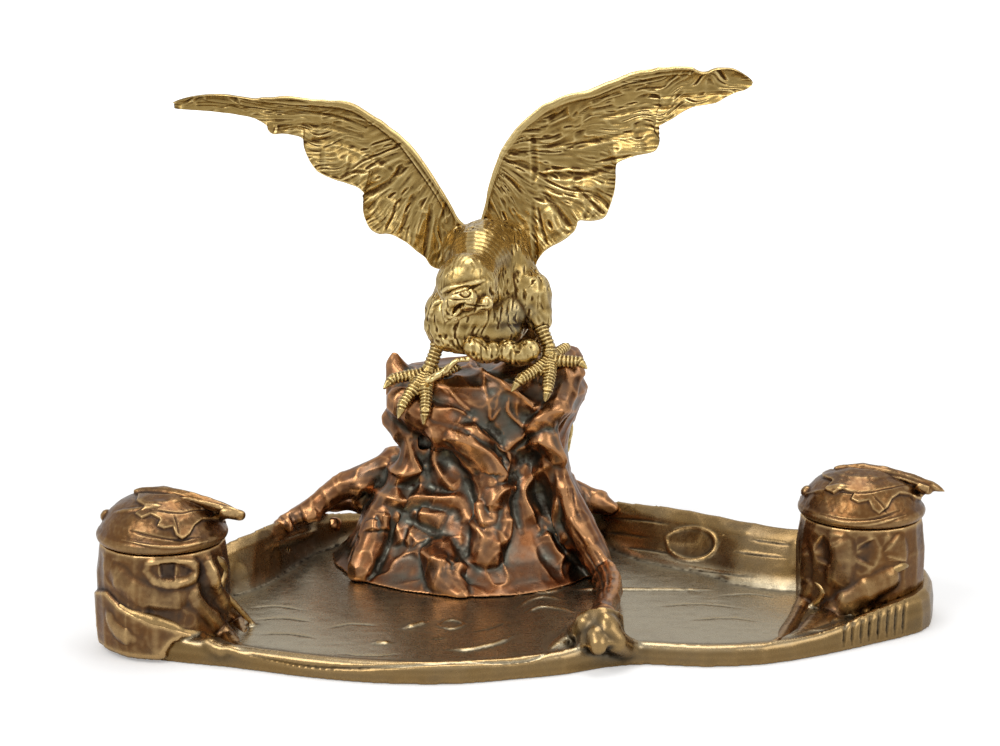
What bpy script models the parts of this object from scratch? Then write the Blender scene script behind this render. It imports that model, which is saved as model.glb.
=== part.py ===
"""Desk inkstand: an eagle on a rock between two lidded ink pots, on a cast tray.

Units are metres and +Z is up. The origin is under the middle of the tray, on the
desk, and the front of the inkstand faces -Y.
"""
import math

import bmesh
import bpy
from mathutils import Matrix, Vector

# Tray
TRAY_LENGTH = 0.396
TRAY_DEPTH = 0.2215
TRAY_WALL = 0.003
TRAY_FLOOR_HEIGHT = 0.008
FRONT_RIM_HEIGHT = 0.0095
BACK_RIM_HEIGHT = 0.031
BEAD_WIDTH = 0.009
BACK_BANK_WIDTH = 0.036

# Cut stump at the front of the tray
STUMP_RADIUS = 0.0105
STUMP_FOOT_RADIUS = 0.0118
STUMP_HEIGHT = 0.020
STUMP_X_SHARE = 0.174
STUMP_BACK_SHARE = -0.578
STUMP_FRONT_SHARE = -0.795

# Rock
ROCK_WIDTH = 0.100
ROCK_HEIGHT = 0.108
ROCK_X_SHARE = -0.10
ROCK_SETBACK = 0.05275
ROCK_WALL = 0.009
ROCK_GRAIN = 0.0024
CAVITY_HEIGHT = 0.084

# Ink pots and lids
POT_RADIUS = 0.0293
POT_HEIGHT = 0.050
POT_BORE_RADIUS = 0.0225
POT_MOUTH_RADIUS = 0.0262
POT_LEDGE_DEPTH = 0.0036
POT_BASE_THICKNESS = 0.0135
LEFT_POT_SETBACK = 0.031
RIGHT_POT_SETBACK = 0.036
LEFT_POT_Y_SHARE = -0.47
RIGHT_POT_Y_SHARE = -0.10
LID_HEIGHT = 0.0222
LID_WALL = 0.0022
LID_SKIRT_RADIUS = 0.0250
LID_SKIRT_DEPTH = 0.0016
LID_SKIRT_WALL = 0.0016
LEAF_REACH = 0.039
HINGE_OFFSET = 0.0330
KNUCKLE_RADIUS = 0.0028
LID_KNUCKLE_LENGTH = 0.008
POT_KNUCKLE_LENGTH = 0.0050
HINGE_PIN_RADIUS = 0.0011
LINER_RADIUS = 0.0215
LINER_WALL = 0.0026
LINER_FLANGE_THICKNESS = 0.0014
LINER_MOUTH_RADIUS = 0.0145
LINER_NECK_DEPTH = 0.0030

# Eagle
BODY_LENGTH = 0.100
BODY_GRAIN = 0.0023
WING_LENGTH = 0.150
WING_LEAD_THICKNESS = 0.0058
WING_TRAIL_THICKNESS = 0.0018
WING_CUP_SHARE = 0.13
WING_CUP_LEAN = 0.8
LEG_GRAIN = 0.0011
WING_DOWEL_RADIUS = 0.0013
WING_DOWEL_LENGTH = 0.013
WING_DOWEL_EMBED = 0.0040

# Fasteners and fits
CLEARANCE = 0.0003
RUNNING_CLEARANCE = 0.0001
OVERRUN = 0.004
STUD_RADIUS = 0.0016
STUD_EMBED = 0.0050
NUT_ACROSS_CORNERS_RADIUS = 0.0040
NUT_HEIGHT = 0.0032
WASHER_RADIUS = 0.0046
WASHER_THICKNESS = 0.0009
SCREW_RADIUS = 0.0017
SCREW_HEAD_RADIUS = 0.0032
SCREW_HEAD_HEIGHT = 0.0022
SCREW_TIP_SHARE = 0.55
SCREW_CROWN_SHARE = 0.94
ROCK_SCREW_LENGTH = 0.016
POT_SCREW_LENGTH = 0.013
POT_SCREW_CIRCLE = 0.018
POT_SCREW_ANGLES = {"left": (-10, 50), "right": (195, 240)}
ROCK_BOSS_RADIUS = 0.0060
ROCK_BOSS_HEIGHT = 0.024

# Facets
TRAY_STEPS_PER_POINT = 2
ROUND_STEPS = 20
SMALL_STEPS = 10
TINY_STEPS = 8
ROCK_TRIANGLES = 1700
BODY_TRIANGLES = 1500
LEG_TRIANGLES = 480
RELIEF_TRIANGLES = 110

# Outline of the tray, anticlockwise from its left end: place as shares of half the
# length and depth, rim height as a share of the way from front to back rim, and bank
# width as a share of the way from the front bead to the back bank.
TRAY_OUTLINE_SHARES = (
    (-1.00, -0.45, 0.25, 0.35),
    (-0.94, -0.62, 0.22, 0.30),
    (-0.84, -0.72, 0.15, 0.22),
    (-0.68, -0.80, 0.02, 0.05),
    (-0.51, -0.91, 0.00, 0.00),
    (-0.39, -0.97, 0.00, 0.00),
    (-0.28, -1.00, 0.00, 0.00),
    (-0.15, -1.00, 0.00, 0.00),
    (-0.01, -0.94, 0.00, 0.00),
    (0.09, -0.89, 0.04, 0.00),
    (0.18, -0.81, 0.10, 0.00),
    (0.28, -0.77, 0.02, 0.00),
    (0.41, -0.80, 0.00, 0.00),
    (0.55, -0.77, 0.00, 0.00),
    (0.69, -0.66, 0.05, 0.08),
    (0.82, -0.52, 0.25, 0.30),
    (0.95, -0.36, 0.40, 0.42),
    (0.99, -0.20, 0.42, 0.45),
    (1.00, 0.00, 0.45, 0.48),
    (0.93, 0.15, 0.70, 0.65),
    (0.78, 0.25, 0.95, 0.85),
    (0.68, 0.28, 1.00, 0.95),
    (0.56, 0.40, 1.00, 1.00),
    (0.43, 0.57, 1.00, 1.00),
    (0.30, 0.72, 0.95, 0.90),
    (0.20, 0.88, 0.80, 0.60),
    (0.08, 0.99, 0.50, 0.35),
    (-0.15, 1.00, 0.30, 0.20),
    (-0.40, 0.93, 0.40, 0.30),
    (-0.53, 0.72, 0.70, 0.55),
    (-0.60, 0.48, 0.95, 0.90),
    (-0.66, 0.27, 1.00, 0.85),
    (-0.75, 0.10, 0.85, 0.75),
    (-0.88, -0.08, 0.50, 0.52),
    (-0.97, -0.24, 0.35, 0.40),
)
# Line along the middle of the pools, towards which the rim's section is drawn in.
TRAY_SPINE_SHARES = ((-0.72, -0.36), (-0.30, -0.40), (0.05, -0.05), (0.50, 0.00), (0.78, -0.14))
# Section of the rim: way in as a share of the bead, height as a share of the rim.
RIM_SECTION_SHARES = ((0.00, 0.00), (0.00, 0.50), (0.13, 0.84), (0.42, 1.00))
# Bank from the rim's crest to the floor: way in and height, as shares of what is left.
BANK_SECTION_SHARES = ((0.35, 0.80), (0.70, 0.28), (1.00, 0.00))

# Rings of the rock: height as a share of the rock's height, then reach to the left,
# right, front and back of its centre as shares of its width.
ROCK_RING_SHARES = (
    (0.03, 0.66, 0.66, 0.54, 0.48),
    (0.18, 0.60, 0.58, 0.46, 0.47),
    (0.30, 0.58, 0.52, 0.42, 0.45),
    (0.46, 0.50, 0.44, 0.36, 0.40),
    (0.60, 0.40, 0.43, 0.32, 0.36),
    (0.70, 0.34, 0.44, 0.32, 0.34),
    (0.80, 0.39, 0.49, 0.34, 0.32),
    (0.89, 0.47, 0.53, 0.35, 0.29),
    (0.96, 0.44, 0.49, 0.32, 0.25),
    (1.00, 0.34, 0.36, 0.24, 0.18),
)
# Ridges of the rock, each a run of (x, y, z, radius): x, y and radius as shares of the
# rock's width from its centre, z as a share of its height.
ROCK_RIDGE_SHARES = (
    # shoulder ridge from the left foot across to the front
    ((-0.40, -0.28, 0.88, 0.09), (-0.24, -0.34, 0.80, 0.09), (-0.08, -0.36, 0.72, 0.09),
     (0.02, -0.36, 0.58, 0.08), (0.06, -0.40, 0.40, 0.09), (0.02, -0.50, 0.20, 0.10)),
    # fold from the right ledge down to the dividing root
    ((0.40, -0.24, 0.92, 0.08), (0.30, -0.32, 0.78, 0.07), (0.36, -0.30, 0.55, 0.08),
     (0.46, -0.32, 0.34, 0.09), (0.56, -0.44, 0.18, 0.09)),
    # waist fold at the left
    ((-0.44, -0.20, 0.78, 0.07), (-0.34, -0.24, 0.66, 0.07), (-0.38, -0.22, 0.50, 0.08),
     (-0.52, -0.28, 0.30, 0.09), (-0.60, -0.42, 0.12, 0.08)),
    # foot that runs into the left pool
    ((-0.20, -0.46, 0.20, 0.11), (-0.18, -0.60, 0.11, 0.10), (-0.10, -0.68, 0.08, 0.06)),
)
# Ridges under the eagle's feet, in shares of its body's length from the point between
# its feet, as the body's own runs are.
PERCH_RIDGE_SHARES = (
    # crest at the left, behind the left foot
    ((-0.43, 0.16, -0.13, 0.08), (-0.45, 0.20, 0.00, 0.06), (-0.46, 0.21, 0.06, 0.025)),
    # ledge under the right foot
    ((0.14, 0.14, -0.09, 0.15), (0.32, 0.08, -0.02, 0.11), (0.42, 0.04, 0.00, 0.08)),
    ((0.32, 0.16, 0.02, 0.09), (0.42, 0.28, 0.02, 0.08)),
)
# Roots over the tray: where each leaves the rock, as a ridge's row, then x and y as
# shares of half the tray's length and depth, z as a share of the way from the tray's
# floor to its back rim, and radius as a share of the rock's width.
ROOT_SHARES = (
    # root that sprawls to the left over the bank
    ((-0.44, 0.00, 0.52, 0.09), (-0.44, 0.51, 1.72, 0.070), (-0.53, 0.48, 1.16, 0.055),
     (-0.60, 0.44, 0.90, 0.045), (-0.65, 0.34, 0.76, 0.030)),
    ((-0.50, 0.06, 0.36, 0.10), (-0.47, 0.67, 1.06, 0.070), (-0.525, 0.74, 0.87, 0.045)),
    # root that divides the pools
    ((0.34, 0.22, 0.34, 0.08), (0.12, 0.56, 0.69, 0.085), (0.17, 0.36, 0.36, 0.075),
     (0.20, 0.11, 0.24, 0.070), (0.21, -0.16, 0.19, 0.066), (0.19, -0.40, 0.17, 0.070),
     (0.18, -0.56, 0.14, 0.080)),
    # root over the right bank
    ((0.34, 0.20, 0.34, 0.09), (0.16, 0.76, 1.06, 0.060), (0.24, 0.72, 0.78, 0.045)),
)
ROCK_BOSS_SHARES = ((-0.52, 0.00), (0.48, 0.00), (0.00, 0.36))
# Exponent of the rock's rings: 2 is an ellipse and more is squarer.
ROCK_SQUARENESS = 2.6

# Ink pot below its rim, from the floor of the tray up: height as a share of the pot's
# height, radius as a share of its rim.
POT_PROFILE_SHARES = ((0.06, 1.00), (0.20, 1.025), (0.42, 1.035), (0.70, 1.045), (0.88, 1.01),
                      (1.00, 0.99))
POT_LOBES = 5
POT_LOBE_SHARE = 0.012
POT_LOBE_TWIST = 4
# Lid's outer side from the top of the dome down to its rim: radius as a share of the
# pot's radius, height as a share of the lid's height.
LID_OUTER_SHARES = ((0.00, 1.00), (0.22, 0.985), (0.46, 0.90), (0.68, 0.74), (0.84, 0.52),
                    (0.91, 0.33), (0.965, 0.275), (1.00, 0.17), (0.995, 0.07), (0.97, 0.015))
LID_INNER_SHARES = ((0.80, 0.20), (0.72, 0.48), (0.52, 0.74), (0.24, 0.87), (0.00, 0.89))
# Leaf on a lid: x and y as shares of its reach from the lid's centre, z as a share of
# the lid's height, radius as a share of its reach.
LEAF_SHARES = ((-0.30, 0.10, 0.93, 0.06), (0.00, 0.02, 0.97, 0.09), (0.30, -0.10, 0.93, 0.09),
               (0.58, -0.16, 0.82, 0.085), (0.82, -0.20, 0.70, 0.065), (0.97, -0.22, 0.60, 0.03))
LID_KNOB_SHARE = (-0.66, 0.05, 0.45, 0.085)

# Eagle's body in shares of its length from the point between its feet: runs of
# (x, y, z, radius), each joined into a limb.
BODY_SHARES = (
    # belly, breast and shoulders
    ((0.10, 0.22, 0.24, 0.13), (0.05, 0.20, 0.42, 0.22), (0.02, 0.20, 0.54, 0.20)),
    ((-0.10, 0.10, 0.34, 0.13), (-0.02, 0.06, 0.46, 0.16), (-0.02, 0.12, 0.58, 0.16)),
    ((-0.10, 0.26, 0.58, 0.13), (0.09, 0.26, 0.60, 0.13)),
    # neck, bent forward over the breast
    ((0.00, 0.18, 0.58, 0.17), (-0.03, 0.00, 0.60, 0.14), (-0.05, -0.16, 0.555, 0.110),
     (-0.06, -0.28, 0.505, 0.125)),
    # bill
    ((-0.09, -0.36, 0.465, 0.075), (-0.14, -0.42, 0.43, 0.048), (-0.17, -0.445, 0.375, 0.022)),
    # thighs
    ((-0.10, 0.16, 0.42, 0.14), (-0.16, 0.10, 0.34, 0.12), (-0.23, 0.08, 0.20, 0.075)),
    ((0.14, 0.16, 0.42, 0.14), (0.20, 0.11, 0.38, 0.13), (0.26, 0.08, 0.26, 0.075)),
    # rump
    ((0.04, 0.30, 0.44, 0.18), (0.07, 0.46, 0.36, 0.12)),
)
# Tail: centre and width as shares of the body's length, from root to tip.
TAIL_SHARES = ((0.05, 0.34, 0.48, 0.22), (0.10, 0.54, 0.30, 0.26), (0.16, 0.68, 0.04, 0.32),
               (0.22, 0.755, -0.24, 0.38), (0.26, 0.775, -0.46, 0.42), (0.27, 0.78, -0.60, 0.34))
TAIL_THICKNESS = 0.0056
# Section of the tail: across as a share of its half width, deep of its half thickness.
TAIL_SECTION_SHARES = ((-1.0, 0.0), (-0.9, -1.0), (0.0, -1.3), (0.9, -1.0), (1.0, 0.0),
                       (0.9, 1.0), (0.0, 1.3), (-0.9, 1.0))
# Legs in the same shares: the leg and its toes as runs of (x, y, z, radius).
LEFT_LEG_SHARES = (
    ((-0.20, 0.08, 0.26, 0.040), (-0.235, 0.06, 0.19, 0.043), (-0.245, 0.04, 0.12, 0.036),
     (-0.270, 0.02, 0.055, 0.036), (-0.290, 0.01, 0.00, 0.044)),
    ((-0.290, 0.01, 0.00, 0.040), (-0.395, -0.02, 0.00, 0.032), (-0.460, -0.04, -0.01, 0.030),
     (-0.500, -0.07, -0.05, 0.012)),
    ((-0.290, 0.01, 0.00, 0.040), (-0.350, -0.09, -0.04, 0.034), (-0.405, -0.16, -0.11, 0.031),
     (-0.425, -0.19, -0.17, 0.012)),
    ((-0.290, 0.01, 0.00, 0.040), (-0.290, -0.11, -0.05, 0.034), (-0.295, -0.19, -0.13, 0.031),
     (-0.300, -0.20, -0.20, 0.012)),
    ((-0.290, 0.01, 0.00, 0.036), (-0.205, 0.03, 0.005, 0.030), (-0.150, 0.05, 0.025, 0.024),
     (-0.120, 0.06, 0.02, 0.012)),
)
RIGHT_LEG_SHARES = (
    ((0.220, 0.09, 0.34, 0.040), (0.250, 0.07, 0.27, 0.045), (0.280, 0.04, 0.20, 0.038),
     (0.305, 0.02, 0.14, 0.037), (0.310, 0.00, 0.075, 0.044)),
    ((0.310, 0.00, 0.075, 0.040), (0.385, -0.02, 0.075, 0.032), (0.455, -0.03, 0.075, 0.030),
     (0.490, -0.06, 0.05, 0.012)),
    ((0.310, 0.00, 0.075, 0.040), (0.310, -0.10, 0.03, 0.034), (0.298, -0.17, -0.03, 0.031),
     (0.288, -0.19, -0.085, 0.012)),
    ((0.310, 0.00, 0.075, 0.040), (0.235, -0.09, 0.04, 0.034), (0.165, -0.15, 0.01, 0.031),
     (0.125, -0.17, -0.04, 0.012)),
    ((0.310, 0.00, 0.075, 0.036), (0.355, 0.07, 0.100, 0.030), (0.395, 0.13, 0.115, 0.026),
     (0.415, 0.16, 0.105, 0.012)),
)
# Point between the feet, from the rock's centre as shares of the rock's width.
PERCH_SHARE = (0.02, -0.26)

# Wings: x and z of the leading edge, x and z of the trailing edge, and y of the
# chord, from the shoulder, as shares of the wing's length.
SHOULDER_SHARE = (0.00, 0.28, 0.60)
LEFT_WING_SHARES = (
    (-0.05, 0.05, -0.05, -0.07, 0.00),
    (-0.10, 0.08, -0.13, -0.06, 0.01),
    (-0.15, 0.18, -0.19, -0.04, 0.01),
    (-0.21, 0.28, -0.28, 0.03, 0.00),
    (-0.30, 0.37, -0.36, 0.04, -0.02),
    (-0.36, 0.42, -0.40, 0.10, -0.03),
    (-0.41, 0.45, -0.41, 0.18, -0.05),
    (-0.48, 0.47, -0.47, 0.19, -0.06),
    (-0.54, 0.49, -0.52, 0.23, -0.07),
    (-0.60, 0.49, -0.57, 0.28, -0.08),
    (-0.66, 0.50, -0.60, 0.36, -0.09),
    (-0.73, 0.51, -0.69, 0.39, -0.11),
    (-0.79, 0.51, -0.73, 0.43, -0.12),
    (-0.90, 0.51, -0.88, 0.46, -0.15),
    (-0.99, 0.49, -1.00, 0.48, -0.17),
)
RIGHT_WING_SHARES = (
    (-0.01, 0.04, 0.06, -0.07, 0.00),
    (0.01, 0.10, 0.12, -0.09, 0.01),
    (0.00, 0.15, 0.15, -0.07, 0.01),
    (0.02, 0.22, 0.19, -0.01, 0.01),
    (0.06, 0.30, 0.23, 0.01, -0.01),
    (0.11, 0.38, 0.28, 0.04, -0.02),
    (0.18, 0.45, 0.31, 0.11, -0.03),
    (0.26, 0.49, 0.35, 0.12, -0.05),
    (0.34, 0.52, 0.41, 0.13, -0.06),
    (0.43, 0.55, 0.44, 0.21, -0.08),
    (0.51, 0.58, 0.47, 0.30, -0.09),
    (0.57, 0.59, 0.56, 0.33, -0.11),
    (0.64, 0.60, 0.58, 0.41, -0.12),
    (0.72, 0.60, 0.68, 0.48, -0.14),
    (0.81, 0.59, 0.77, 0.51, -0.16),
    (0.85, 0.56, 0.85, 0.55, -0.17),
)
# Wing section from the leading edge: way along the chord and how far the thickness
# has gone from that of the lead to that of the trailing edge.
WING_SECTION_SHARES = ((0.00, 0.55), (0.06, 0.00), (0.16, 0.25), (0.36, 0.70), (0.62, 0.90),
                       (0.84, 1.00), (1.00, 1.00))

# Places that several pieces share
HALF_LENGTH = TRAY_LENGTH / 2
HALF_DEPTH = TRAY_DEPTH / 2
ROCK_CENTRE = Vector((ROCK_X_SHARE * HALF_LENGTH, HALF_DEPTH - ROCK_SETBACK, 0))
PERCH = ROCK_CENTRE + Vector((PERCH_SHARE[0] * ROCK_WIDTH, PERCH_SHARE[1] * ROCK_WIDTH,
                              ROCK_HEIGHT))
SHOULDER = PERCH + Vector(SHOULDER_SHARE) * BODY_LENGTH
POT_PLACES = {
    "left": Vector((LEFT_POT_SETBACK - HALF_LENGTH, LEFT_POT_Y_SHARE * HALF_DEPTH, 0)),
    "right": Vector((HALF_LENGTH - RIGHT_POT_SETBACK, RIGHT_POT_Y_SHARE * HALF_DEPTH, 0)),
}
LEG_RUNS = {"left": LEFT_LEG_SHARES, "right": RIGHT_LEG_SHARES}
FOOT_PLACES = {
    side: PERCH + Vector(runs[0][-1][:3]) * BODY_LENGTH for side, runs in LEG_RUNS.items()
}
WING_STATIONS = {"left": LEFT_WING_SHARES, "right": RIGHT_WING_SHARES}

# Bronze finishes: colour, roughness and metallic value
FINISHES = {
    "gilt_bronze": ((0.62, 0.42, 0.16), 0.36, 1.0),
    "rock_bronze": ((0.34, 0.22, 0.16), 0.48, 1.0),
    "tray_bronze": ((0.36, 0.29, 0.16), 0.42, 1.0),
    "pot_bronze": ((0.44, 0.31, 0.15), 0.40, 1.0),
    "liner_glass": ((0.75, 0.82, 0.80), 0.08, 0.0),
    "steel": ((0.55, 0.54, 0.52), 0.40, 1.0),
}


def clear_scene():
    """Removes whatever the scene held before."""
    for obj in list(bpy.data.objects):
        bpy.data.objects.remove(obj, do_unlink=True)


def new_collection(name):
    """Makes a collection in the scene."""
    collection = bpy.data.collections.new(name)
    bpy.context.scene.collection.children.link(collection)
    return collection


def finish(name):
    """Gives the Principled material of a finish, made once."""
    material = bpy.data.materials.get(name)
    if material:
        return material
    colour, roughness, metallic = FINISHES[name]
    material = bpy.data.materials.new(name)
    material.use_nodes = True
    shader = material.node_tree.nodes["Principled BSDF"]
    shader.inputs["Base Color"].default_value = (*colour, 1.0)
    shader.inputs["Roughness"].default_value = roughness
    shader.inputs["Metallic"].default_value = metallic
    return material


def mesh_object(name, mesh, place=(0, 0, 0)):
    """Puts a mesh in the cutters' collection, from which parts are moved when ready."""
    obj = bpy.data.objects.new(name, mesh)
    obj.location = place
    obj.hide_render = True
    obj.display_type = "WIRE"
    CUTTERS.objects.link(obj)
    return obj


def from_bmesh(name, bm, place=(0, 0, 0)):
    """Turns a bmesh into an object."""
    bmesh.ops.recalc_face_normals(bm, faces=bm.faces)
    mesh = bpy.data.meshes.new(name)
    bm.to_mesh(mesh)
    bm.free()
    return mesh_object(name, mesh, place)


def settle(obj):
    """Turns an object's modifiers into its own mesh."""
    bpy.context.view_layer.update()
    depsgraph = bpy.context.evaluated_depsgraph_get()
    mesh = bpy.data.meshes.new_from_object(obj.evaluated_get(depsgraph))
    obj.modifiers.clear()
    obj.data = mesh
    return obj


def boolean(obj, other, operation="DIFFERENCE", solver="EXACT"):
    """Cuts or joins one object with another."""
    modifier = obj.modifiers.new(operation.title(), "BOOLEAN")
    modifier.operation = operation
    modifier.solver = solver
    modifier.object = other
    return settle(obj)


def ready(obj, name, finish_name, angle=40):
    """Makes a finished solid a named part of the inkstand."""
    CUTTERS.objects.unlink(obj)
    PARTS.objects.link(obj)
    obj.name = name
    obj.data.name = name
    obj.hide_render = False
    obj.display_type = "TEXTURED"
    obj.data.materials.clear()
    obj.data.materials.append(finish(finish_name))
    obj.data.shade_smooth()
    obj.data.set_sharp_from_angle(angle=math.radians(angle))
    return obj


def swollen(obj, amount=CLEARANCE):
    """Copies an object and grows the copy, for use as a cutter that leaves a gap."""
    copy = mesh_object(obj.name + "_room", obj.data.copy(), obj.location)
    modifier = copy.modifiers.new("Room", "DISPLACE")
    modifier.strength = amount
    modifier.mid_level = 0.0
    return settle(copy)


def cylinder(name, radius, bottom, top, steps=SMALL_STEPS, tip_radius=None):
    """Makes a cylinder or cone between two points."""
    bottom = Vector(bottom)
    run = Vector(top) - bottom
    bm = bmesh.new()
    turn = run.to_track_quat("Z", "Y").to_matrix().to_4x4()
    bmesh.ops.create_cone(bm, cap_ends=True, segments=steps, radius1=radius,
                          radius2=radius if tip_radius is None else tip_radius,
                          depth=run.length, matrix=Matrix.Translation(run / 2) @ turn)
    return from_bmesh(name, bm, bottom)


def box(name, low, high):
    """Makes a box between two corners."""
    low, high = Vector(low), Vector(high)
    size = high - low
    bm = bmesh.new()
    bmesh.ops.create_cube(bm, size=1.0, matrix=Matrix.Diagonal((*size, 1.0)))
    return from_bmesh(name, bm, low + size / 2)


def turned(name, profile, place, steps=ROUND_STEPS, closed=False):
    """Turns a profile of (radius, height), open on the axis or closed, about the axis."""
    mesh = bpy.data.meshes.new(name)
    points = [(radius, 0, height) for radius, height in profile]
    edges = [(i, i + 1) for i in range(len(points) - 1)]
    if closed:
        edges.append((len(points) - 1, 0))
    mesh.from_pydata(points, edges, [])
    obj = mesh_object(name, mesh, place)
    screw = obj.modifiers.new("Turn", "SCREW")
    screw.steps = steps
    screw.render_steps = steps
    screw.use_merge_vertices = True
    screw.merge_threshold = RUNNING_CLEARANCE / 2
    screw.use_smooth_shade = True
    return settle(obj)


def lofted(name, rings, place=(0, 0, 0)):
    """Joins rings of as many points each into a closed solid."""
    bm = bmesh.new()
    rows = [[bm.verts.new(point) for point in ring] for ring in rings]
    count = len(rings[0])
    for low, high in zip(rows, rows[1:]):
        for i in range(count):
            j = (i + 1) % count
            bm.faces.new((low[i], low[j], high[j]))
            bm.faces.new((low[i], high[j], high[i]))
    bm.faces.new(rows[0])
    bm.faces.new(rows[-1])
    bmesh.ops.triangulate(bm, faces=bm.faces[:])
    return from_bmesh(name, bm, place)


def add_run(bm, run, steps):
    """Adds balls joined by cones along a run of (point, radius)."""
    for point, radius in run:
        bmesh.ops.create_uvsphere(bm, u_segments=steps, v_segments=steps * 2 // 3,
                                  radius=radius, matrix=Matrix.Translation(point))
    for (start, start_radius), (end, end_radius) in zip(run, run[1:]):
        way = end - start
        turn = way.to_track_quat("Z", "Y").to_matrix().to_4x4()
        bmesh.ops.create_cone(bm, cap_ends=True, segments=steps, radius1=start_radius,
                              radius2=end_radius, depth=way.length,
                              matrix=Matrix.Translation((start + end) / 2) @ turn)


def runs_object(name, runs, steps=SMALL_STEPS):
    """Makes an object of runs of balls and cones, still to be cast in one."""
    bm = bmesh.new()
    for run in runs:
        add_run(bm, run, steps)
    return from_bmesh(name, bm)


def body_runs(table):
    """Places runs given in shares of the body's length."""
    return [[(PERCH + Vector(row[:3]) * BODY_LENGTH, row[3] * BODY_LENGTH) for row in run]
            for run in table]


def cast(obj, grain, triangles, smoothing=3):
    """Casts overlapping shapes as one closed skin of a given fineness."""
    remesh = obj.modifiers.new("Cast", "REMESH")
    remesh.mode = "VOXEL"
    remesh.voxel_size = grain
    smooth = obj.modifiers.new("Smooth", "SMOOTH")
    smooth.factor = 0.5
    smooth.iterations = smoothing
    settle(obj)
    share = triangles / (2 * len(obj.data.polygons))
    decimate = obj.modifiers.new("Facets", "DECIMATE")
    decimate.ratio = min(1.0, share)
    return settle(obj)


def merge_in(obj, other):
    """Adds another object's mesh to an object, as loose shapes for casting."""
    bm = bmesh.new()
    bm.from_mesh(obj.data)
    other_mesh = other.data.copy()
    other_mesh.transform(Matrix.Translation(Vector(other.location) - Vector(obj.location)))
    bm.from_mesh(other_mesh)
    bm.to_mesh(obj.data)
    bm.free()
    return obj


def smooth_loop(points, steps):
    """Runs a smooth closed curve through points of any number of values."""
    count = len(points)
    curve = []
    for i in range(count):
        before, here = points[i - 1], points[i]
        after, later = points[(i + 1) % count], points[(i + 2) % count]
        for step in range(steps):
            t = step / steps
            curve.append(tuple(
                0.5 * (2 * b + (c - a) * t + (2 * a - 5 * b + 4 * c - d) * t * t
                       + (3 * b - a - 3 * c + d) * t ** 3)
                for a, b, c, d in zip(before, here, after, later)))
    return curve


def nearest_on_spine(point):
    """Finds the nearest point of the tray's spine."""
    spine = [Vector((x * HALF_LENGTH, y * HALF_DEPTH)) for x, y in TRAY_SPINE_SHARES]
    best = None
    for start, end in zip(spine, spine[1:]):
        way = end - start
        t = max(0.0, min(1.0, (point - start).dot(way) / way.length_squared))
        spot = start + way * t
        if best is None or (point - spot).length < (point - best).length:
            best = spot
    return best


def tray_form(name, inset=0.0, lift=0.0, base=0.0):
    """Makes the tray's outer form, drawn in by inset and raised by lift, as a solid."""
    rings = []
    outline = smooth_loop(TRAY_OUTLINE_SHARES, TRAY_STEPS_PER_POINT)
    sections = []
    for x, y, height_share, bank_share in outline:
        edge = Vector((x * HALF_LENGTH, y * HALF_DEPTH))
        inward = (nearest_on_spine(edge) - edge).normalized()
        rim = FRONT_RIM_HEIGHT + max(0.0, height_share) * (BACK_RIM_HEIGHT - FRONT_RIM_HEIGHT)
        bank = BEAD_WIDTH + max(0.0, bank_share) * (BACK_BANK_WIDTH - BEAD_WIDTH)
        section = [(inset, base)]
        for way, high in RIM_SECTION_SHARES[1:]:
            section.append((way * BEAD_WIDTH + inset, high * rim + lift))
        crest = section[-1][0]
        foot = max(bank - inset, crest)
        for way, high in BANK_SECTION_SHARES:
            height = TRAY_FLOOR_HEIGHT + high * (rim - TRAY_FLOOR_HEIGHT) + lift
            section.append((crest + way * (foot - crest), height))
        sections.append((edge, inward, section))
    for row in range(len(sections[0][2])):
        ring = []
        for edge, inward, section in sections:
            way, height = section[row]
            spot = edge + inward * way
            ring.append((spot.x, spot.y, height))
        rings.append(ring)
    return lofted(name, rings)


def stump(name, room=0.0):
    """Makes the cut stump, leaning back over the front lip of the tray."""
    x = STUMP_X_SHARE * HALF_LENGTH
    front = STUMP_FRONT_SHARE * HALF_DEPTH
    back = STUMP_BACK_SHARE * HALF_DEPTH
    bottom = (x, front - room, TRAY_FLOOR_HEIGHT - TRAY_WALL / 2)
    top = (x, (front + back) / 2, STUMP_HEIGHT + room)
    return cylinder(name, STUMP_FOOT_RADIUS + room, bottom, top, SMALL_STEPS + 4,
                    STUMP_RADIUS + room)


def screw_places():
    """Lists every screw from under the tray: name, foot and length."""
    places = []
    for number, share in enumerate(ROCK_BOSS_SHARES, 1):
        spot = ROCK_CENTRE + Vector((share[0], share[1], 0)) * ROCK_WIDTH
        places.append((f"rock_screw_{number}", spot, ROCK_SCREW_LENGTH))
    for side, centre in POT_PLACES.items():
        for number, angle in enumerate(POT_SCREW_ANGLES[side], 1):
            turn = math.radians(angle)
            spot = centre + Vector((math.cos(turn), math.sin(turn), 0)) * POT_SCREW_CIRCLE
            places.append((f"{side}_pot_screw_{number}", spot, POT_SCREW_LENGTH))
    return places


def screw_profile(length):
    """Profile of a pan head screw from its tip down to its head."""
    return ((0.0, length), (SCREW_RADIUS * SCREW_TIP_SHARE, length),
            (SCREW_RADIUS, length - SCREW_RADIUS), (SCREW_RADIUS, 0.0), (SCREW_HEAD_RADIUS, 0.0),
            (SCREW_HEAD_RADIUS * SCREW_CROWN_SHARE, -SCREW_HEAD_HEIGHT),
            (0.0, -SCREW_HEAD_HEIGHT))


def screw_seat():
    """Height of the underside of the tray's floor, on which the heads bear."""
    return TRAY_FLOOR_HEIGHT - TRAY_WALL - CLEARANCE


def make_screws():
    """Makes the screws that hold the rock and the pots to the tray."""
    for name, spot, length in screw_places():
        place = (spot.x, spot.y, screw_seat())
        ready(turned(name, screw_profile(length), place, SMALL_STEPS), name, "steel")


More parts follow.
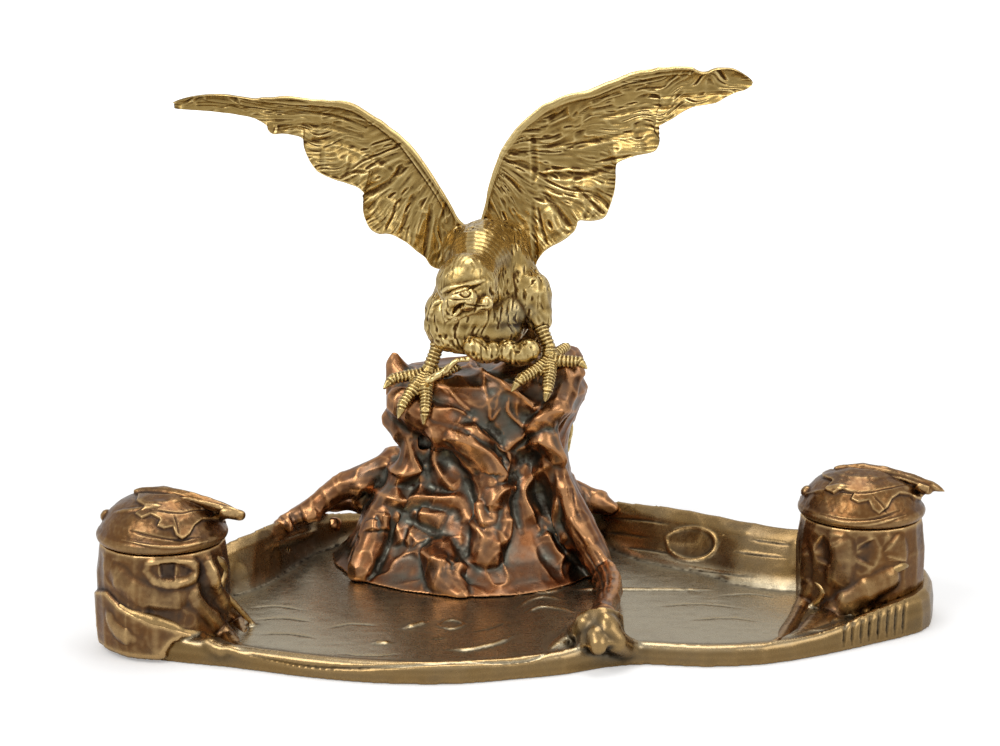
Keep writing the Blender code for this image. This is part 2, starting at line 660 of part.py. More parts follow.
def screw_holes(obj, prefix):
    """Drills the holes of the screws whose name starts with a prefix."""
    for name, spot, length in screw_places():
        if not name.startswith(prefix):
            continue
        foot = (spot.x, spot.y, -OVERRUN)
        end = (spot.x, spot.y, screw_seat() + length + CLEARANCE * 2)
        hole = cylinder(name + "_hole", SCREW_RADIUS + CLEARANCE, foot, end)
        boolean(obj, hole)


def make_tray():
    """Makes the hollow tray with its stump and its screw holes."""
    tray = tray_form("tray")
    boolean(tray, stump("stump"), "UNION")
    hollow = tray_form("tray_hollow", inset=TRAY_WALL, lift=-TRAY_WALL, base=-OVERRUN)
    boolean(tray, hollow)
    screw_holes(tray, "")
    return ready(tray, "tray", "tray_bronze")


def tray_room():
    """Makes the room that the tray takes from what stands on it."""
    room = tray_form("tray_room", inset=-CLEARANCE, lift=CLEARANCE, base=-OVERRUN)
    return boolean(room, stump("stump_room", CLEARANCE), "UNION")


def rock_spot(x, y, z, radius):
    """Places a point of a ridge, given in shares of the rock."""
    spot = ROCK_CENTRE + Vector((x * ROCK_WIDTH, y * ROCK_WIDTH, z * ROCK_HEIGHT))
    return spot, radius * ROCK_WIDTH


def tray_spot(x, y, z, radius):
    """Places a point of a root, given in shares of the tray it lies on."""
    height = TRAY_FLOOR_HEIGHT + z * (BACK_RIM_HEIGHT - TRAY_FLOOR_HEIGHT)
    return Vector((x * HALF_LENGTH, y * HALF_DEPTH, height)), radius * ROCK_WIDTH


def rock_ring(row, inset=0.0):
    """One ring of the rock, between an ellipse and a rectangle."""
    height, left, right, front, back = row
    ring = []
    for step in range(ROUND_STEPS):
        angle = 2 * math.pi * step / ROUND_STEPS
        c, s = math.cos(angle), math.sin(angle)
        reach_x = (right if c > 0 else left) * ROCK_WIDTH - inset
        reach_y = (back if s > 0 else front) * ROCK_WIDTH - inset
        bulge = (abs(c) ** ROCK_SQUARENESS + abs(s) ** ROCK_SQUARENESS) ** (-1 / ROCK_SQUARENESS)
        ring.append(ROCK_CENTRE + Vector((reach_x * c * bulge, reach_y * s * bulge,
                                          height * ROCK_HEIGHT)))
    return ring


def make_rock(tray_space, leg_spaces):
    """Makes the hollow rock with its roots, bosses and the beds of the eagle's feet."""
    rock = lofted("rock_mound", [rock_ring(row) for row in ROCK_RING_SHARES])
    runs = []
    for table in ROCK_RIDGE_SHARES:
        runs.append([rock_spot(*row) for row in table])
    for table in ROOT_SHARES:
        runs.append([rock_spot(*table[0])] + [tray_spot(*row) for row in table[1:]])
    runs += body_runs(PERCH_RIDGE_SHARES)
    merge_in(rock, runs_object("rock_ridges", runs))
    cast(rock, ROCK_GRAIN, ROCK_TRIANGLES)

    cavity_rings = [rock_ring(row, ROCK_WALL) for row in ROCK_RING_SHARES
                    if row[0] * ROCK_HEIGHT < CAVITY_HEIGHT]
    low = [Vector((point.x, point.y, -OVERRUN)) for point in cavity_rings[0]]
    high = [Vector((point.x, point.y, CAVITY_HEIGHT)) for point in cavity_rings[-1]]
    boolean(rock, lofted("rock_cavity", [low] + cavity_rings + [high]))
    for number, share in enumerate(ROCK_BOSS_SHARES, 1):
        spot = ROCK_CENTRE + Vector((share[0], share[1], 0)) * ROCK_WIDTH
        top = spot + Vector((0, 0, ROCK_BOSS_HEIGHT))
        boolean(rock, cylinder(f"rock_boss_{number}", ROCK_BOSS_RADIUS, spot, top), "UNION")
    boolean(rock, tray_space)
    screw_holes(rock, "rock")
    for side in LEG_RUNS:
        boolean(rock, leg_spaces[side])
        foot = FOOT_PLACES[side]
        hole_foot = (foot.x, foot.y, CAVITY_HEIGHT - OVERRUN)
        boolean(rock, cylinder(side + "_stud_hole", STUD_RADIUS + CLEARANCE, hole_foot,
                               (foot.x, foot.y, foot.z)))
        seat = (foot.x, foot.y, CAVITY_HEIGHT)
        boolean(rock, cylinder(side + "_nut_room", WASHER_RADIUS + CLEARANCE * 3,
                               (foot.x, foot.y, CAVITY_HEIGHT - NUT_HEIGHT * 4), seat))
    return ready(rock, "rock_mound", "rock_bronze", 55)


def make_foot_fastenings():
    """Makes the stud, washer and nut that hold each foot from inside the rock."""
    for side, foot in FOOT_PLACES.items():
        washer_top = CAVITY_HEIGHT - CLEARANCE
        washer_low = washer_top - WASHER_THICKNESS
        nut_top = washer_low - CLEARANCE
        nut_low = nut_top - NUT_HEIGHT
        bore = STUD_RADIUS + RUNNING_CLEARANCE
        stud = cylinder("stud", STUD_RADIUS, (foot.x, foot.y, nut_low - STUD_RADIUS),
                        (foot.x, foot.y, foot.z + STUD_EMBED - CLEARANCE))
        ready(stud, side + "_foot_stud", "steel")
        washer = turned("washer", ((WASHER_RADIUS, washer_top), (WASHER_RADIUS, washer_low),
                                   (bore, washer_low), (bore, washer_top)),
                        (foot.x, foot.y, 0), SMALL_STEPS, closed=True)
        ready(washer, side + "_foot_washer", "steel")
        nut = cylinder("nut", NUT_ACROSS_CORNERS_RADIUS, (foot.x, foot.y, nut_low),
                       (foot.x, foot.y, nut_top), 6)
        boolean(nut, cylinder("nut_bore", bore + RUNNING_CLEARANCE,
                              (foot.x, foot.y, nut_low - OVERRUN),
                              (foot.x, foot.y, nut_top + OVERRUN)))
        ready(nut, side + "_foot_nut", "steel")


def make_leg(side):
    """Makes a leg with four toes, drilled for its stud, and gives the room it takes."""
    leg = runs_object(side + "_leg", body_runs(LEG_RUNS[side]), TINY_STEPS)
    cast(leg, LEG_GRAIN, LEG_TRIANGLES, 2)
    room = swollen(leg)
    foot = FOOT_PLACES[side]
    boolean(leg, cylinder(side + "_leg_bore", STUD_RADIUS + RUNNING_CLEARANCE,
                          (foot.x, foot.y, foot.z - OVERRUN * 3),
                          (foot.x, foot.y, foot.z + STUD_EMBED)))
    ready(leg, side + "_leg", "gilt_bronze", 60)
    return room


def wing_ring(row):
    """One section of a wing, hollow towards the front."""
    lead_x, lead_z, trail_x, trail_z, chord_y = row
    lead = SHOULDER + Vector((lead_x, chord_y, lead_z)) * WING_LENGTH
    trail = SHOULDER + Vector((trail_x, chord_y, trail_z)) * WING_LENGTH
    chord = trail - lead
    depth = WING_CUP_SHARE * chord.length
    front, back = [], []
    for way, thinned in WING_SECTION_SHARES:
        cup = depth * math.sin(math.pi * way ** WING_CUP_LEAN)
        middle = lead + chord * way + Vector((0, cup, 0))
        thickness = WING_LEAD_THICKNESS + thinned * (WING_TRAIL_THICKNESS - WING_LEAD_THICKNESS)
        half = Vector((0, thickness / 2, 0))
        front.append(middle - half)
        back.append(middle + half)
    return front + back[::-1]


def dowel(name, side, room=0.0):
    """Makes a wing's dowel, or with room its bore, through the wing's root."""
    ends = []
    for row in WING_STATIONS[side][:2]:
        ring = wing_ring(row)
        ends.append((ring[1] + ring[2] + ring[-2] + ring[-3]) / 4)
    way = (ends[1] - ends[0]).normalized()
    inner = ends[0] - way * (WING_DOWEL_EMBED + room)
    outer = ends[0] + way * (WING_DOWEL_LENGTH - WING_DOWEL_EMBED + room)
    radius = WING_DOWEL_RADIUS + min(room, RUNNING_CLEARANCE)
    return cylinder(name, radius, inner, outer, TINY_STEPS)


def make_wing(side):
    """Makes a wing, drilled for its dowel, and gives the room it takes."""
    wing = lofted(side + "_wing", [wing_ring(row) for row in WING_STATIONS[side]])
    room = swollen(wing, CLEARANCE * 1.5)
    boolean(wing, dowel(side + "_wing_bore", side, CLEARANCE))
    ready(wing, side + "_wing", "gilt_bronze", 50)
    return room


def tail_ring(row):
    """One section of the tail, a flat fan."""
    x, y, z, width = row
    centre = PERCH + Vector((x, y, z)) * BODY_LENGTH
    half = width * BODY_LENGTH / 2
    thick = TAIL_THICKNESS / 2
    return [centre + Vector((across * half, deep * thick, 0))
            for across, deep in TAIL_SECTION_SHARES]


def make_body(wing_spaces, leg_spaces):
    """Makes the eagle's body with the sockets of its wings and legs."""
    body = runs_object("eagle_body", body_runs(BODY_SHARES), SMALL_STEPS + 4)
    merge_in(body, lofted("tail", [tail_ring(row) for row in TAIL_SHARES]))
    cast(body, BODY_GRAIN, BODY_TRIANGLES)
    for side in ("left", "right"):
        boolean(body, wing_spaces[side], solver="MANIFOLD")
        boolean(body, leg_spaces[side], solver="MANIFOLD")
        boolean(body, dowel(side + "_body_bore", side, CLEARANCE), solver="MANIFOLD")
    return ready(body, "eagle_body", "gilt_bronze", 50)


def pot_ring(height_share, radius_share):
    """One ring of an ink pot, with soft lobes that fade towards the rim."""
    ring = []
    for step in range(ROUND_STEPS):
        angle = 2 * math.pi * step / ROUND_STEPS
        wave = math.cos(POT_LOBES * angle + POT_LOBE_TWIST * height_share)
        swell = 1 + POT_LOBE_SHARE * (1 - height_share) * wave
        radius = POT_RADIUS * radius_share * swell
        ring.append((radius * math.cos(angle), radius * math.sin(angle),
                     height_share * POT_HEIGHT))
    return ring


def make_pot(side, tray_space):
    """Makes an ink pot with its bore, ledge and hinge knuckles."""
    centre = POT_PLACES[side]
    rings = [pot_ring(high, wide) for high, wide in POT_PROFILE_SHARES]
    pot = lofted(side + "_pot", rings, centre)
    reach = LID_KNUCKLE_LENGTH / 2 + CLEARANCE
    axis = centre + Vector((0, HINGE_OFFSET, POT_HEIGHT))
    for way in (-1, 1):
        inner = axis + Vector((way * reach, 0, 0))
        outer = inner + Vector((way * POT_KNUCKLE_LENGTH, 0, 0))
        knuckle = cylinder("pot_knuckle", KNUCKLE_RADIUS, inner, outer)
        web_depth = HINGE_OFFSET - POT_BORE_RADIUS - LID_WALL
        near, far = sorted((inner.x, outer.x))
        web = box("pot_web", (near + CLEARANCE, axis.y - web_depth, POT_HEIGHT - KNUCKLE_RADIUS * 2),
                  (far - CLEARANCE, axis.y, POT_HEIGHT - CLEARANCE))
        boolean(knuckle, web, "UNION")
        boolean(pot, knuckle, "UNION")
    span = reach + POT_KNUCKLE_LENGTH + OVERRUN
    boolean(pot, cylinder("pot_pin_hole", HINGE_PIN_RADIUS + RUNNING_CLEARANCE,
                          axis - Vector((span, 0, 0)), axis + Vector((span, 0, 0))))
    floor = TRAY_FLOOR_HEIGHT + CLEARANCE + POT_BASE_THICKNESS
    ledge = POT_HEIGHT - POT_LEDGE_DEPTH
    bore = turned("pot_bore", ((0.0, POT_HEIGHT + OVERRUN), (POT_MOUTH_RADIUS, POT_HEIGHT + OVERRUN),
                               (POT_MOUTH_RADIUS, ledge), (POT_BORE_RADIUS, ledge),
                               (POT_BORE_RADIUS, floor), (0.0, floor)), centre)
    boolean(pot, bore)
    boolean(pot, tray_space)
    screw_holes(pot, side + "_pot")
    return ready(pot, side + "_pot", "pot_bronze", 50)


def make_liner(side):
    """Makes the glass liner, which hangs in the pot by its flange."""
    centre = POT_PLACES[side]
    flange_low = POT_HEIGHT - POT_LEDGE_DEPTH + CLEARANCE
    flange_top = flange_low + LINER_FLANGE_THICKNESS
    bottom = TRAY_FLOOR_HEIGHT + POT_BASE_THICKNESS + CLEARANCE * 3
    inner = LINER_RADIUS - LINER_WALL
    edge = POT_MOUTH_RADIUS - CLEARANCE * 2
    profile = ((0.0, bottom + LINER_WALL), (inner - LINER_WALL, bottom + LINER_WALL),
               (inner, bottom + LINER_WALL * 2), (inner, flange_low - LINER_NECK_DEPTH * 2),
               (LINER_MOUTH_RADIUS, flange_low - LINER_NECK_DEPTH / 2),
               (LINER_MOUTH_RADIUS, flange_top), (edge, flange_top), (edge, flange_low),
               (LINER_RADIUS, flange_low), (LINER_RADIUS, bottom + LINER_WALL),
               (LINER_RADIUS - LINER_WALL, bottom), (0.0, bottom))
    return ready(turned("liner", profile, centre), side + "_liner", "liner_glass", 35)


def make_lid(side):
    """Makes a domed lid with its leaf and knuckle, its origin on the hinge axis."""
    axis = POT_PLACES[side] + Vector((0, HINGE_OFFSET, POT_HEIGHT))
    low = CLEARANCE
    profile = [(wide * POT_RADIUS, low + high * LID_HEIGHT) for wide, high in LID_OUTER_SHARES]
    profile += [(LID_SKIRT_RADIUS, low), (LID_SKIRT_RADIUS, -LID_SKIRT_DEPTH),
                (LID_SKIRT_RADIUS - LID_SKIRT_WALL, -LID_SKIRT_DEPTH)]
    profile += [(wide * POT_RADIUS, low + high * LID_HEIGHT) for wide, high in LID_INNER_SHARES]
    lid = turned(side + "_lid", profile, axis)
    lid.data.transform(Matrix.Translation((0, -HINGE_OFFSET, 0)))
    runs = [[(Vector((x * LEAF_REACH, y * LEAF_REACH - HINGE_OFFSET, z * LID_HEIGHT)),
              radius * LEAF_REACH) for x, y, z, radius in LEAF_SHARES]]
    x, y, z, radius = LID_KNOB_SHARE
    runs.append([(Vector((x * LEAF_REACH, y * LEAF_REACH - HINGE_OFFSET, z * LID_HEIGHT)),
                  radius * LEAF_REACH)])
    for number, run in enumerate(runs):
        relief = runs_object(f"lid_relief_{number}", [run], TINY_STEPS)
        relief.location = axis
        if len(run) > 1:
            cast(relief, LEG_GRAIN, RELIEF_TRIANGLES, 2)
        boolean(lid, relief, "UNION")
    half = Vector((LID_KNUCKLE_LENGTH / 2, 0, 0))
    knuckle = cylinder("lid_knuckle", KNUCKLE_RADIUS, axis - half, axis + half)
    web_depth = HINGE_OFFSET - POT_RADIUS + LID_WALL
    web = box("lid_web", axis + Vector((CLEARANCE - half.x, -web_depth, CLEARANCE * 2)),
              axis + Vector((half.x - CLEARANCE, 0, KNUCKLE_RADIUS - CLEARANCE)))
    boolean(knuckle, web, "UNION")
    boolean(lid, knuckle, "UNION")
    span = half * 2
    boolean(lid, cylinder("lid_pin_hole", HINGE_PIN_RADIUS + RUNNING_CLEARANCE,
                          axis - span, axis + span))
    return ready(lid, side + "_lid", "pot_bronze", 45)


def make_hinge_pin(side):
    """Makes the pin through a lid's and a pot's knuckles."""
    axis = POT_PLACES[side] + Vector((0, HINGE_OFFSET, POT_HEIGHT))
    half = Vector((LID_KNUCKLE_LENGTH / 2 + CLEARANCE + POT_KNUCKLE_LENGTH, 0, 0))
    pin = cylinder("pin", HINGE_PIN_RADIUS, axis - half, axis + half)
    return ready(pin, side + "_hinge_pin", "steel")


def main():
    """Makes every piece of the inkstand."""
    tray_space = tray_room()
    make_tray()
    leg_spaces = {side: make_leg(side) for side in ("left", "right")}
    wing_spaces = {side: make_wing(side) for side in ("left", "right")}
    make_rock(tray_space, leg_spaces)
    make_body(wing_spaces, leg_spaces)
    make_foot_fastenings()
    make_screws()
    for side in ("left", "right"):
        ready(dowel("dowel", side), side + "_wing_dowel", "steel")
        make_pot(side, tray_space)
        make_liner(side)
        make_lid(side)
        make_hinge_pin(side)


clear_scene()
PARTS = new_collection("desk_inkstand")
CUTTERS = new_collection("desk_inkstand_cutters")
main()
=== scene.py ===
"""Looks of a bronze desk inkstand: an eagle on a rock between two lidded ink pots.

Units are metres in the frame of the CAD model, with +Z up and the front at -Y.
"""
import math
from itertools import product

import bmesh
import bpy
import numpy as np
from bpy.props import FloatProperty, FloatVectorProperty, IntProperty, PointerProperty
from mathutils import Matrix, Vector
from mathutils.bvhtree import BVHTree


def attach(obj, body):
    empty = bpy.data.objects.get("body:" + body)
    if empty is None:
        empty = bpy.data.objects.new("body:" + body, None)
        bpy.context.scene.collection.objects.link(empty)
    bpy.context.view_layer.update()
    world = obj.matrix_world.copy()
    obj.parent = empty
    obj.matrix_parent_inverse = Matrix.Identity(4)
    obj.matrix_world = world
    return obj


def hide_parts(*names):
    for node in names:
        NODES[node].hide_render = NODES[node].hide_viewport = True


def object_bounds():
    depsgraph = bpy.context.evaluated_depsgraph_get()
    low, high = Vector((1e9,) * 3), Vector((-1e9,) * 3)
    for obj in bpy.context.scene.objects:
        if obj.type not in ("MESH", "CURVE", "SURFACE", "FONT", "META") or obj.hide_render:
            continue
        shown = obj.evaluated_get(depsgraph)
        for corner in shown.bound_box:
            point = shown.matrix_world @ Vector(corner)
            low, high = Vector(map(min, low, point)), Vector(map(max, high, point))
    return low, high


bl_info = {
    "name": "Bronze Inkstand",
    "version": (1, 0, 0),
    "blender": (4, 5, 0),
    "location": "3D View > Sidebar > Inkstand",
    "description": "Dresses the castings of a bronze desk inkstand",
    "category": "Object",
}

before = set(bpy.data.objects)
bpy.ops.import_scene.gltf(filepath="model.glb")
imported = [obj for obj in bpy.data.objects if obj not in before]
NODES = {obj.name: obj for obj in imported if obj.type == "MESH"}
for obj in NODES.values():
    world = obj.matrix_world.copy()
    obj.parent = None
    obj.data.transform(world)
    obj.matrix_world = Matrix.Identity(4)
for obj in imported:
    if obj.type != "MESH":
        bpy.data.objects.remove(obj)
CAD_BOX = [list(corner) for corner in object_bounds()]

MM = 0.001
IMAGE_WIDTH, IMAGE_HEIGHT = 1000, 746
LENS, SENSOR_WIDTH = 86.0, 36.0
CAMERA_PLACE = Vector((-0.011, -1.112, 0.370))
CAMERA_DIP = math.radians(12.85)
FOCAL_PIXELS = IMAGE_WIDTH * LENS / SENSOR_WIDTH
MOST_TRIANGLES = 190000
WIDE_TUBE = 0.005  # tubes of a larger radius are made with more sides
PIXEL_SIZE = 0.00047  # metres that a pixel spans at the eagle
LONG_STEP = 0.025  # a traced line skips points further apart than this

# Wings as the camera sees them, from root to tip: leading edge and trailing edge
WING_ROWS = {
    "left": (
        (470, 228, 468, 250), (462, 222, 450, 262), (457, 216, 441, 269), (453, 208, 431, 266),
        (448, 199, 425, 258), (443, 191, 415, 250), (438, 183, 408, 244), (433, 175, 401, 240),
        (427, 166, 394, 236), (420, 156, 387, 234), (412, 146, 379, 234), (404, 138, 371, 230),
        (397, 132, 366, 222), (390, 127, 363, 212), (383, 121, 363, 200), (376, 117, 364, 194),
        (368, 112, 358, 188), (359, 106, 348, 184), (350, 102, 338, 181), (340, 100, 327, 177),
        (330, 100, 318, 172), (322, 99, 312, 165), (314, 99, 308, 158), (306, 98, 304, 148),
        (298, 97, 302, 138), (290, 96, 286, 134), (281, 96, 273, 134), (272, 97, 268, 130),
        (263, 97, 266, 125), (254, 98, 253, 118), (240, 96, 238, 115), (225, 94, 225, 113),
        (208, 94, 205, 111), (192, 96, 190, 110), (180, 99, 178, 109), (173, 102, 174, 108),
    ),
    "right": (
        (480, 222, 500, 252), (484, 208, 514, 262), (486, 200, 518, 270), (487, 192, 524, 275),
        (489, 184, 530, 271), (491, 177, 535, 267), (494, 168, 539, 259), (497, 160, 544, 252),
        (500, 152, 551, 247), (504, 145, 559, 243), (508, 139, 567, 238), (513, 132, 574, 232),
        (518, 126, 577, 226), (524, 120, 579, 221), (530, 115, 586, 221), (537, 109, 593, 221),
        (544, 104, 599, 220), (552, 101, 605, 217), (560, 97, 609, 210), (568, 94, 612, 201),
        (577, 92, 615, 190), (587, 90, 616, 178), (597, 86, 616, 169), (606, 82, 618, 163),
        (615, 79, 627, 159), (624, 75, 636, 156), (632, 72, 646, 154), (641, 70, 655, 151),
        (650, 69, 659, 145), (659, 67, 659, 139), (667, 67, 654, 130), (676, 66, 663, 124),
        (684, 66, 672, 119), (692, 67, 683, 112), (700, 71, 694, 107), (707, 71, 705, 105),
        (714, 68, 716, 103), (723, 67, 725, 98), (733, 68, 735, 93), (743, 73, 745, 90),
        (751, 79, 751, 86), (753, 83, 752, 85),
    ),
}
# How far a wing's chord leans forward from the shoulder: x and y in millimetres
WING_LEAN = {
    "left": ((-168, 34.5), (-153, 37.5), (-121, 43.5), (-100, 47), (-79, 52.5), (-63, 57),
             (-49, 60), (-33, 61.5), (-18, 60)),
    "right": ((-19, 60), (-9, 58.5), (9, 55.5), (21, 52.5), (33, 51), (47, 48), (60, 46),
              (78, 42), (90, 39), (110, 34.5)),
}
FAN_CENTRES = {"left": (466, 120), "right": (476, 150)}
WING_CUP, WING_CUP_LEAN = 0.13, 0.8
WING_SECTION = ((0.00, 0.55), (0.06, 0.00), (0.16, 0.25), (0.36, 0.70), (0.62, 0.90),
                (0.84, 1.00), (1.00, 1.00))
WING_LEAD, WING_TRAIL = 5.8, 1.8  # thickness in millimetres
# Feather strokes: width and height in metres, seed, and how much they are drawn out
WING_HATCH = ((0.0034, 0.00062, 63, 0.22), (0.0013, 0.00062, 64, 0.24))

# Relief lines are (half width, height, points the camera sees them at), in
# millimetres, with a height below zero for a groove.
WING_LINES = {
    "left": (
        (1.3, 0.9, (249, 100, 283, 103, 318, 105, 346, 108, 370, 121, 399, 143, 420, 170,
                    441, 202, 446, 222)),
        (2.1, -0.6, (364, 196, 378, 190, 392, 180, 400, 168)),
        (2.1, -0.6, (306, 142, 330, 140, 355, 147, 375, 158, 392, 170)),
        (1.9, -0.5, (270, 129, 300, 126, 330, 127, 362, 137)),
        (2.1, -0.6, (401, 240, 405, 222, 410, 205, 418, 192)),
        (1.9, -0.6, (425, 258, 427, 240, 430, 222, 431, 205)),
        (5.8, 1.0, (318, 158, 336, 160, 352, 163)),
        (5.0, 0.7, (377, 222, 388, 210, 392, 196)),
        (4.6, 0.7, (415, 240, 420, 222, 424, 206)),
        (4.6, 0.6, (345, 176, 360, 176, 376, 180)),
        (3.6, 0.6, (282, 128, 300, 133, 318, 136)),
        (3.6, 0.9, (274, 131, 277, 132)),
        (1.2, -0.6, (250, 108, 280, 112, 310, 113, 340, 118, 366, 128)),
        (1.1, -0.5, (178, 105, 205, 104, 235, 106, 262, 111)),
        (1.2, -0.6, (336, 181, 352, 172, 370, 172)),
        (1.2, -0.6, (384, 233, 392, 218, 397, 200)),
    ),
    "right": (
        (1.3, 0.9, (487, 200, 494, 176, 505, 150, 524, 127, 547, 110, 570, 101, 592, 96,
                    614, 87, 638, 79, 664, 75, 690, 74)),
        (2.2, -0.7, (533, 138, 534, 150, 535, 171, 533, 184)),
        (2.1, -0.6, (574, 232, 562, 216, 550, 200, 540, 186)),
        (2.1, -0.6, (535, 267, 535, 248, 534, 226, 533, 204)),
        (2.2, -0.7, (617, 166, 600, 171, 582, 175, 560, 176, 545, 176)),
        (2.0, -0.6, (655, 131, 635, 133, 612, 137, 588, 143, 565, 150)),
        (1.8, -0.5, (694, 107, 670, 106, 645, 108, 616, 114, 585, 122)),
        (5.0, 0.9, (597, 215, 586, 203, 572, 192)),
        (5.0, 0.7, (560, 236, 552, 220, 545, 206)),
        (4.6, 0.8, (524, 268, 526, 248, 527, 228)),
        (4.8, 0.7, (610, 190, 594, 187, 578, 185)),
        (4.6, 0.7, (648, 146, 628, 149, 606, 154)),
        (4.0, 0.6, (680, 110, 656, 117, 632, 122)),
        (1.1, 0.9, (542, 173, 560, 170, 588, 171)),
        (1.1, -0.6, (604, 217, 590, 200, 574, 186)),
        (1.1, -0.6, (548, 248, 542, 228, 538, 208)),
        (1.1, -0.5, (735, 92, 712, 93, 688, 95, 660, 97)),
        (1.1, -0.5, (636, 155, 616, 158, 596, 162)),
    ),
}
# Rock and its roots: tubes of metal that stand out from the castings, with a radius
ROCK_TUBES = (
    (1.8, (469, 366, 484, 375, 503, 386, 519, 396, 536, 408, 543, 413)),
    (2.6, (574, 411, 561, 410, 546, 415, 531, 428, 513, 441, 506, 449, 499, 459)),
    (2.6, (426, 423, 433, 433, 438, 446, 435, 459, 443, 476, 453, 488, 460, 494)),
    (3.0, (441, 439, 456, 439, 469, 443, 486, 454, 496, 466, 501, 478, 493, 484)),
    (2.4, (473, 420, 476, 433, 496, 448, 508, 453, 503, 481)),
    (2.0, (425, 410, 440, 411, 456, 411, 469, 418)),
    (2.8, (508, 453, 536, 441, 542, 440, 552, 449, 562, 459, 564, 471)),
    (2.4, (546, 466, 536, 473, 527, 483, 523, 491, 524, 501, 531, 516, 539, 529)),
    (2.6, (491, 516, 493, 502, 501, 491, 511, 488, 519, 491)),
    (2.2, (508, 512, 508, 526, 506, 537, 498, 544)),
    (3.4, (564, 471, 564, 489, 567, 506, 574, 522, 586, 539, 599, 554)),
    (2.6, (561, 484, 556, 516, 559, 532, 569, 547)),
    (2.6, (370, 488, 387, 497, 403, 500, 420, 497, 441, 499, 456, 499, 464, 507, 468, 516,
           476, 527, 486, 539)),
    (2.0, (416, 513, 433, 517, 448, 524)),
    (2.8, (385, 464, 400, 473, 413, 471, 426, 466)),
    (2.2, (359, 511, 356, 497, 360, 487, 368, 487, 382, 496)),
    (2.4, (302, 519, 314, 515, 325, 516, 333, 523, 345, 526, 359, 522, 365, 520)),
    (2.6, (284, 526, 292, 524)),
    (1.6, (335, 520, 335, 529)),
    (1.8, (374, 518, 373, 532)),
    (1.8, (385, 511, 383, 532)),
    (2.0, (394, 507, 400, 530, 406, 547)),
    (2.0, (406, 547, 416, 537, 423, 552)),
    (3.2, (420, 549, 435, 561, 448, 565)),
    (2.6, (452, 562, 466, 572, 484, 580)),
    (2.2, (545, 528, 552, 548, 566, 566)),
    (1.8, (480, 497, 482, 514, 487, 530)),
    (1.6, (575, 541, 591, 546, 604, 560, 614, 575, 615, 587, 610, 599)),
)
ROCK_LINES = (
    (1.6, 1.1, (469, 366, 484, 375, 503, 386, 519, 396, 536, 408, 543, 413)),
    (1.4, 0.8, (509, 398, 508, 411, 519, 423, 531, 427)),
    (1.2, 0.6, (449, 389, 460, 402, 472, 411)),
    (1.2, 0.6, (475, 363, 484, 374, 484, 386, 487, 395)),
    (1.4, 0.8, (480, 428, 491, 440, 507, 447)),
    (1.2, 0.6, (489, 402, 491, 420, 500, 409)),
    (3.0, -0.7, (452, 426, 462, 431, 470, 437)),
    (3.4, -0.8, (450, 452, 462, 458, 474, 468, 480, 478)),
    (3.4, -0.8, (520, 462, 532, 456, 542, 452)),
    (3.2, -0.7, (514, 470, 520, 480)),
    (3.6, -0.9, (535, 490, 543, 504, 550, 518)),
    (3.2, -0.7, (497, 505, 500, 520, 496, 532)),
    (2.8, -0.6, (515, 500, 518, 516, 522, 532)),
    (3.2, -0.7, (425, 485, 436, 492)),
    (2.8, -0.5, (395, 486, 412, 486)),
    (3.0, -0.7, (407, 520, 424, 527, 444, 537)),
    (2.6, -0.6, (489, 420, 493, 430, 503, 438)),
    (2.6, -0.5, (411, 440, 418, 452, 420, 462)),
    (2.8, -0.5, (540, 424, 548, 430, 562, 428)),
    (2.6, -0.5, (345, 512, 352, 504)),
    (2.4, -0.5, (312, 522, 324, 524)),
    (2.6, -0.5, (379, 512, 379, 530)),
    (3.0, -0.6, (458, 545, 470, 556)),
    (2.8, -0.6, (440, 510, 455, 512, 461, 524)),
    (1.0, -0.6, (584, 548, 592, 562, 601, 578, 602, 596)),
    (1.0, -0.6, (592, 546, 600, 560, 608, 576, 607, 592)),
    (1.0, -0.6, (576, 530, 586, 546)),
    (0.9, -0.5, (568, 510, 574, 526, 582, 538)),
    (0.9, -0.5, (572, 490, 574, 506, 580, 520)),
    (0.8, -0.5, (583, 611, 590, 613, 598, 612, 606, 614)),
    (0.8, -0.5, (588, 607, 596, 609, 604, 608)),
    (0.8, -0.5, (589, 618, 597, 617, 604, 618)),
    (1.2, 0.9, (575, 621, 584, 625, 596, 626, 608, 624, 614, 618)),
    (2.2, -0.6, (622, 624, 630, 630)),
    (1.3, 0.9, (618, 610, 630, 620, 646, 633)),
)
TRAY_TUBES = (
    (3.4, (105, 589, 116, 605, 128, 614, 143, 619, 168, 627, 183, 634, 199, 636, 216, 646,
           240, 654, 260, 661)),
    (2.8, (216, 555, 226, 571, 222, 589, 240, 598, 251, 612, 257, 625)),
    (2.2, (226, 600, 240, 617, 249, 628)),
    (2.8, (911, 566, 900, 568, 882, 577, 855, 594, 838, 604)),
    (2.4, (856, 605, 844, 615, 831, 620, 807, 619)),
    (2.2, (850, 618, 827, 629, 807, 631, 780, 640)),
    (2.2, (807, 577, 823, 593, 807, 609, 793, 623, 780, 633)),
    (3.4, (260, 551, 276, 544, 292, 538, 306, 534, 320, 529)),
    (2.0, (736, 538, 743, 535, 750, 534)),
    (5.4, (603, 612, 611, 626, 622, 640, 642, 656)),
    (5.4, (586, 612, 580, 624, 567, 638, 546, 652)),
    (4.6, (594, 626, 596, 640, 600, 652)),
)
